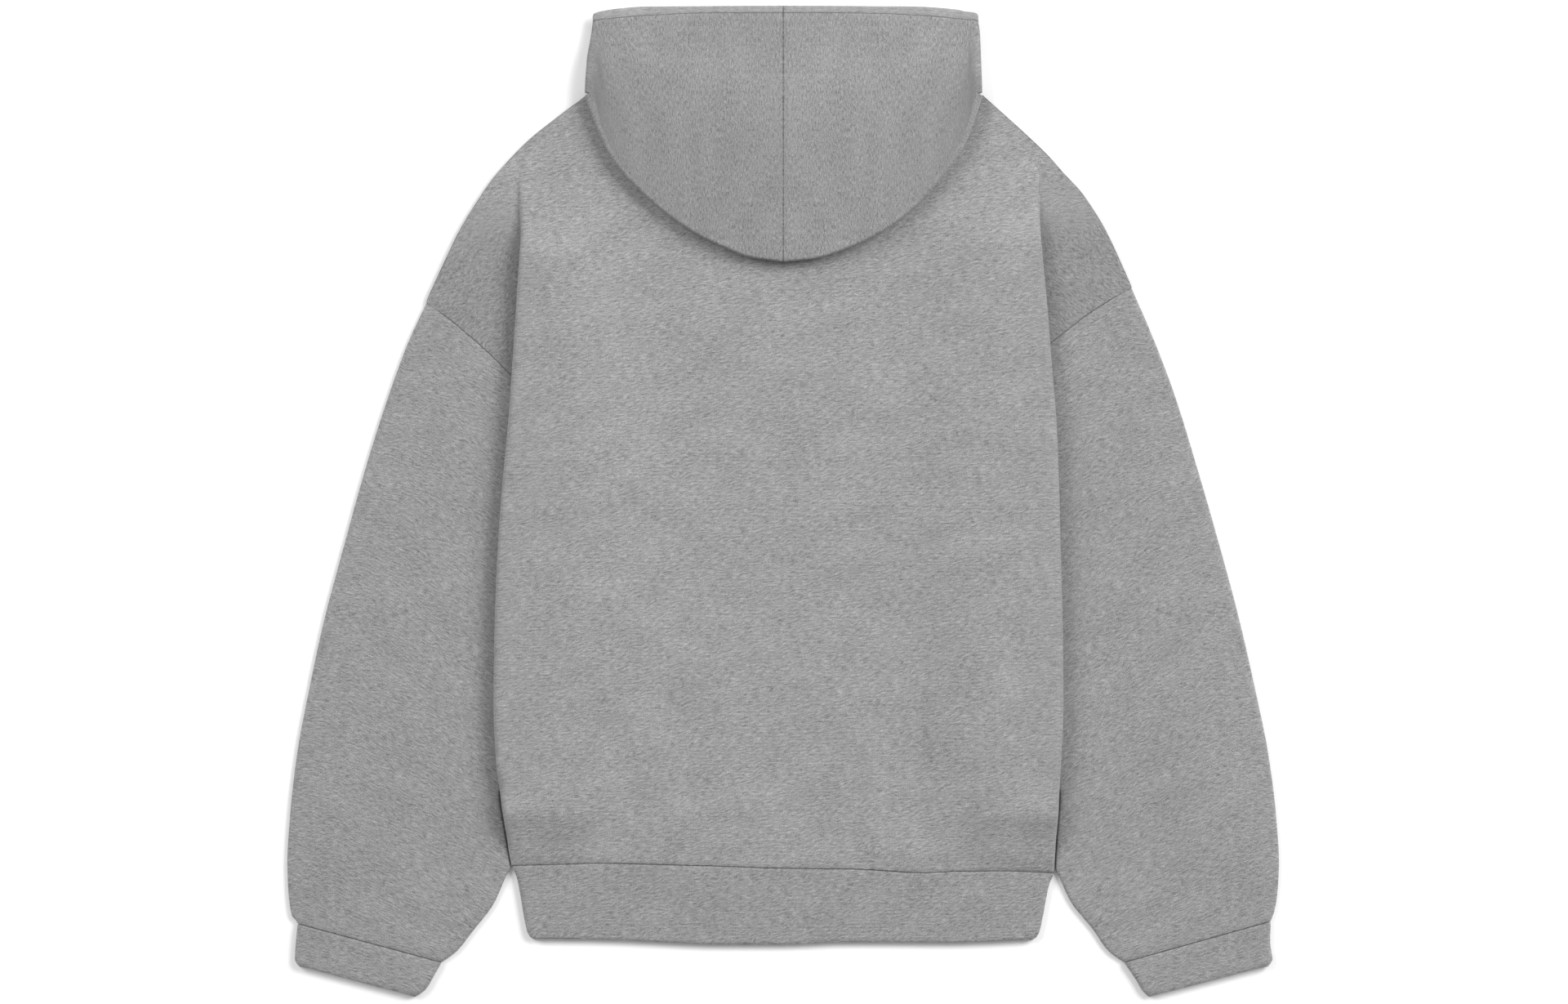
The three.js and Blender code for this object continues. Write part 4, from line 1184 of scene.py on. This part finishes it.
class HoodieCloth(bpy.types.PropertyGroup):
    """Colours and finish of the cloth."""

    body: colour_setting("Body", "Back and front", 0.295)
    # Painted shade: the wings are the body's own fleece, coloured darker.
    wing: colour_setting("Shoulder wings", "Cloth past the tucks", 0.244)
    sleeve: colour_setting("Sleeves", "Both sleeves", 0.277)
    # Painted light and shade: the hood's halves are one fleece, the left coloured darker and the right
    # lighter, for how the light falls across the hood.
    hood_left: colour_setting("Hood, left half", "Its nap lies away from the light", 0.25)
    hood_right: colour_setting("Hood, right half", "Its nap lies to the light", 0.262)
    band: colour_setting("Bands", "Hem band and cuffs", 0.273)
    rim: colour_setting("Hood rim", "The turned strip at the opening", 0.325)
    fibre_length: bpy.props.FloatProperty(
        name="Fibre length", description="Length of a light or dark streak", default=0.007, unit="LENGTH"
    )
    fibre_width: bpy.props.FloatProperty(
        name="Fibre width", description="Width of a light or dark streak", default=0.0013, unit="LENGTH"
    )
    contrast: bpy.props.FloatProperty(
        name="Marl contrast", description="How far the streaks are from the cloth's colour", default=1.13
    )
    nap: bpy.props.FloatProperty(
        name="Nap", description="Height of the knit and its loose fibres", default=0.0004, unit="LENGTH"
    )
    sheen: bpy.props.FloatProperty(name="Sheen", description="Soft shine of the nap", default=0.15)
    # Painted shade: how much darker the cloth's colour is made down in a seam's groove; the next setting does
    # the same on the hood's centre seam.
    seam_shade: bpy.props.FloatProperty(
        name="Seam shade", description="How much darker the cloth is down in a seam", default=0.6
    )
    hood_seam_shade: bpy.props.FloatProperty(
        name="Hood seam shade", description="The same on the hood's soft centre seam", default=0.28
    )


class HoodieStage(bpy.types.PropertyGroup):
    """Floor, light and camera."""

    camera_height: bpy.props.FloatProperty(
        name="Camera height", description="Straight above the floor", default=5.0, unit="LENGTH"
    )
    view_width: bpy.props.FloatProperty(
        name="View width", description="What the photograph's width takes in", default=1.3248, unit="LENGTH"
    )
    key_power: bpy.props.FloatProperty(
        name="Key light", description="Power of the stronger soft light, in watts", default=357.0
    )
    surround: bpy.props.FloatProperty(
        name="Surround", description="Strength of the even light from all sides", default=0.39
    )


# How the marl runs on each cut
BODY_TURN = math.radians(-13)
WING_TURN = math.radians(27)
SLEEVE_TURN = math.radians(5)
HOOD_FIBRE = (0.0045, 0.0011)


class HOODIE_OT_panels(bpy.types.Operator):
    """Adds the back and the front, with the tucks and the shoulder wings"""

    bl_idname = "hoodie.add_panels"
    bl_label = "Add back and front"

    def execute(self, context):
        step = context.scene.hoodie_shape.step
        cloth = context.scene.hoodie_cloth
        material = marled_cloth("Body fleece", cloth.body, BODY_TURN, wing=(cloth.wing, WING_TURN))
        back = body_panel("back_panel_cloth", PITCH / 2, back_neck, NECK_LIFT["height"], step, True)
        dress(back, "back_panel", material)
        front = body_panel("front_panel_cloth", -PITCH / 2, low_neck, 0, step, False)
        dress(front, "front_panel", material)
        return {"FINISHED"}


class HOODIE_OT_hem_band(bpy.types.Operator):
    """Adds the doubled band round the hem"""

    bl_idname = "hoodie.add_hem_band"
    bl_label = "Add hem band"

    def execute(self, context):
        material = marled_cloth("Hem band fleece", context.scene.hoodie_cloth.band, BODY_TURN)
        made = hem_band(context.scene.hoodie_shape.step)
        dress(made, "hem_band", material)
        return {"FINISHED"}


class HOODIE_OT_sleeves(bpy.types.Operator):
    """Adds both sleeves"""

    bl_idname = "hoodie.add_sleeves"
    bl_label = "Add sleeves"

    def execute(self, context):
        material = marled_cloth("Sleeve fleece", context.scene.hoodie_cloth.sleeve, SLEEVE_TURN)
        for side in SIDES:
            made = sleeve(side, context.scene.hoodie_shape.step)
            dress(made, f"sleeve_{side}", material)
        return {"FINISHED"}


class HOODIE_OT_cuffs(bpy.types.Operator):
    """Adds both cuffs"""

    bl_idname = "hoodie.add_cuffs"
    bl_label = "Add cuffs"

    def execute(self, context):
        material = marled_cloth("Cuff fleece", context.scene.hoodie_cloth.band)
        for side in SIDES:
            made = cuff(side, context.scene.hoodie_shape.step)
            dress(made, f"cuff_{side}", material)
        return {"FINISHED"}


class HOODIE_OT_hood(bpy.types.Operator):
    """Adds the two halves of the hood"""

    bl_idname = "hoodie.add_hood"
    bl_label = "Add hood"

    def execute(self, context):
        cloth = context.scene.hoodie_cloth
        shade = cloth.hood_seam_shade
        # Painted light and shade: the left half gets the darker colour, the right half the lighter one.
        for side, colour in (("left", cloth.hood_left), ("right", cloth.hood_right)):
            material = marled_cloth(f"Hood fleece {side}", colour, fibre=HOOD_FIBRE, seam_shade=shade)
            made = hood_half(side, context.scene.hoodie_shape.step)
            dress(made, f"hood_{side}", material)
        return {"FINISHED"}


RIM_MARL = 0.55  # the rim's jersey is smoother than the fleece


class HOODIE_OT_hood_rim(bpy.types.Operator):
    """Adds the turned strip along the hood's opening"""

    bl_idname = "hoodie.add_hood_rim"
    bl_label = "Add hood rim"

    def execute(self, context):
        material = marled_cloth("Rim jersey", context.scene.hoodie_cloth.rim, plain=RIM_MARL)
        for side in SIDES:
            made = hood_rim(side, context.scene.hoodie_shape.step)
            dress(made, f"hood_rim_{side}", material)
        return {"FINISHED"}


# Two large soft lights: where each stands, its size, and its share of the key light's power
LIGHTS = {
    "key_light": {"place": (4.0, 2.4, 3.2), "size": (3.6, 2.8), "share": 1.0},
    "fill_light": {"place": (-4.0, 2.4, 3.2), "size": (3.6, 2.8), "share": 0.6},
}
FLOOR = {"size": 12.0, "colour": (0.95, 0.95, 0.95), "roughness": 0.9}
CAMERA_OUT, CAMERA_UP = 0.0007, -0.0003  # the photograph's middle on the floor


class HOODIE_OT_stage(bpy.types.Operator):
    """Adds the pale floor, the soft light and the camera straight above"""

    bl_idname = "hoodie.add_stage"
    bl_label = "Add stage"

    def execute(self, context):
        stage = context.scene.hoodie_stage
        add_floor()
        for name, light in LIGHTS.items():
            add_light(name, light, stage.key_power)
        add_surround(stage.surround)
        add_camera(stage)
        context.scene.view_settings.view_transform = "Standard"
        return {"FINISHED"}


def add_floor():
    half = FLOOR["size"] / 2
    mesh = bpy.data.meshes.new("floor")
    corners = [(-half, -half, 0), (half, -half, 0), (half, half, 0), (-half, half, 0)]
    mesh.from_pydata(corners, [], [range(len(corners))])
    material = bpy.data.materials.new("Pale floor")
    material.use_nodes = True
    shader = material.node_tree.nodes["Principled BSDF"]
    shader.inputs["Base Color"].default_value = (*FLOOR["colour"], 1)
    shader.inputs["Roughness"].default_value = FLOOR["roughness"]
    mesh.materials.append(material)
    floor = bpy.data.objects.new("floor", mesh)
    bpy.context.scene.collection.objects.link(floor)


def add_light(name, settings, power):
    data = bpy.data.lights.new(name, "AREA")
    data.shape = "RECTANGLE"
    data.size, data.size_y = settings["size"]
    data.energy = power * settings["share"]
    light = bpy.data.objects.new(name, data)
    light.location = settings["place"]
    light.rotation_euler = (-Vector(settings["place"])).to_track_quat("-Z", "Y").to_euler()
    light.visible_camera = False
    bpy.context.scene.collection.objects.link(light)


def add_surround(strength):
    world = bpy.data.worlds.new("surround")
    world.use_nodes = True
    background = world.node_tree.nodes["Background"]
    background.inputs["Color"].default_value = (1, 1, 1, 1)
    background.inputs["Strength"].default_value = strength
    bpy.context.scene.world = world


def add_camera(stage):
    data = bpy.data.cameras.new("camera")
    data.lens = data.sensor_width * stage.camera_height / stage.view_width
    camera = bpy.data.objects.new("camera", data)
    camera.location = (CAMERA_OUT, CAMERA_UP, stage.camera_height)
    bpy.context.scene.collection.objects.link(camera)
    bpy.context.scene.camera = camera


class HOODIE_PT_sidebar(bpy.types.Panel):
    """The hoodie's sizes, its finish and its pieces"""

    bl_label = "Hoodie"
    bl_idname = "HOODIE_PT_sidebar"
    bl_space_type = "VIEW_3D"
    bl_region_type = "UI"
    bl_category = "Hoodie"

    def draw(self, context):
        for settings in (context.scene.hoodie_shape, context.scene.hoodie_cloth, context.scene.hoodie_stage):
            for name in settings.__annotations__:
                self.layout.prop(settings, name)
        for operator in OPERATORS:
            self.layout.operator(operator.bl_idname)


OPERATORS = (
    HOODIE_OT_panels,
    HOODIE_OT_hem_band,
    HOODIE_OT_sleeves,
    HOODIE_OT_cuffs,
    HOODIE_OT_hood,
    HOODIE_OT_hood_rim,
    HOODIE_OT_stage,
)
SETTINGS = {"hoodie_shape": HoodieShape, "hoodie_cloth": HoodieCloth, "hoodie_stage": HoodieStage}
CLASSES = (*SETTINGS.values(), *OPERATORS, HOODIE_PT_sidebar)


def register():
    for cls in CLASSES:
        bpy.utils.register_class(cls)
    for name, cls in SETTINGS.items():
        setattr(bpy.types.Scene, name, bpy.props.PointerProperty(type=cls))


def unregister():
    for name in SETTINGS:
        delattr(bpy.types.Scene, name)
    for cls in reversed(CLASSES):
        bpy.utils.unregister_class(cls)


def main():
    register()
    bpy.ops.hoodie.add_panels()
    bpy.ops.hoodie.add_hem_band()
    bpy.ops.hoodie.add_sleeves()
    bpy.ops.hoodie.add_cuffs()
    bpy.ops.hoodie.add_hood()
    bpy.ops.hoodie.add_hood_rim()
    bpy.ops.hoodie.add_stage()
    bpy.context.view_layer.update()


if __name__ == "__main__":
    main()
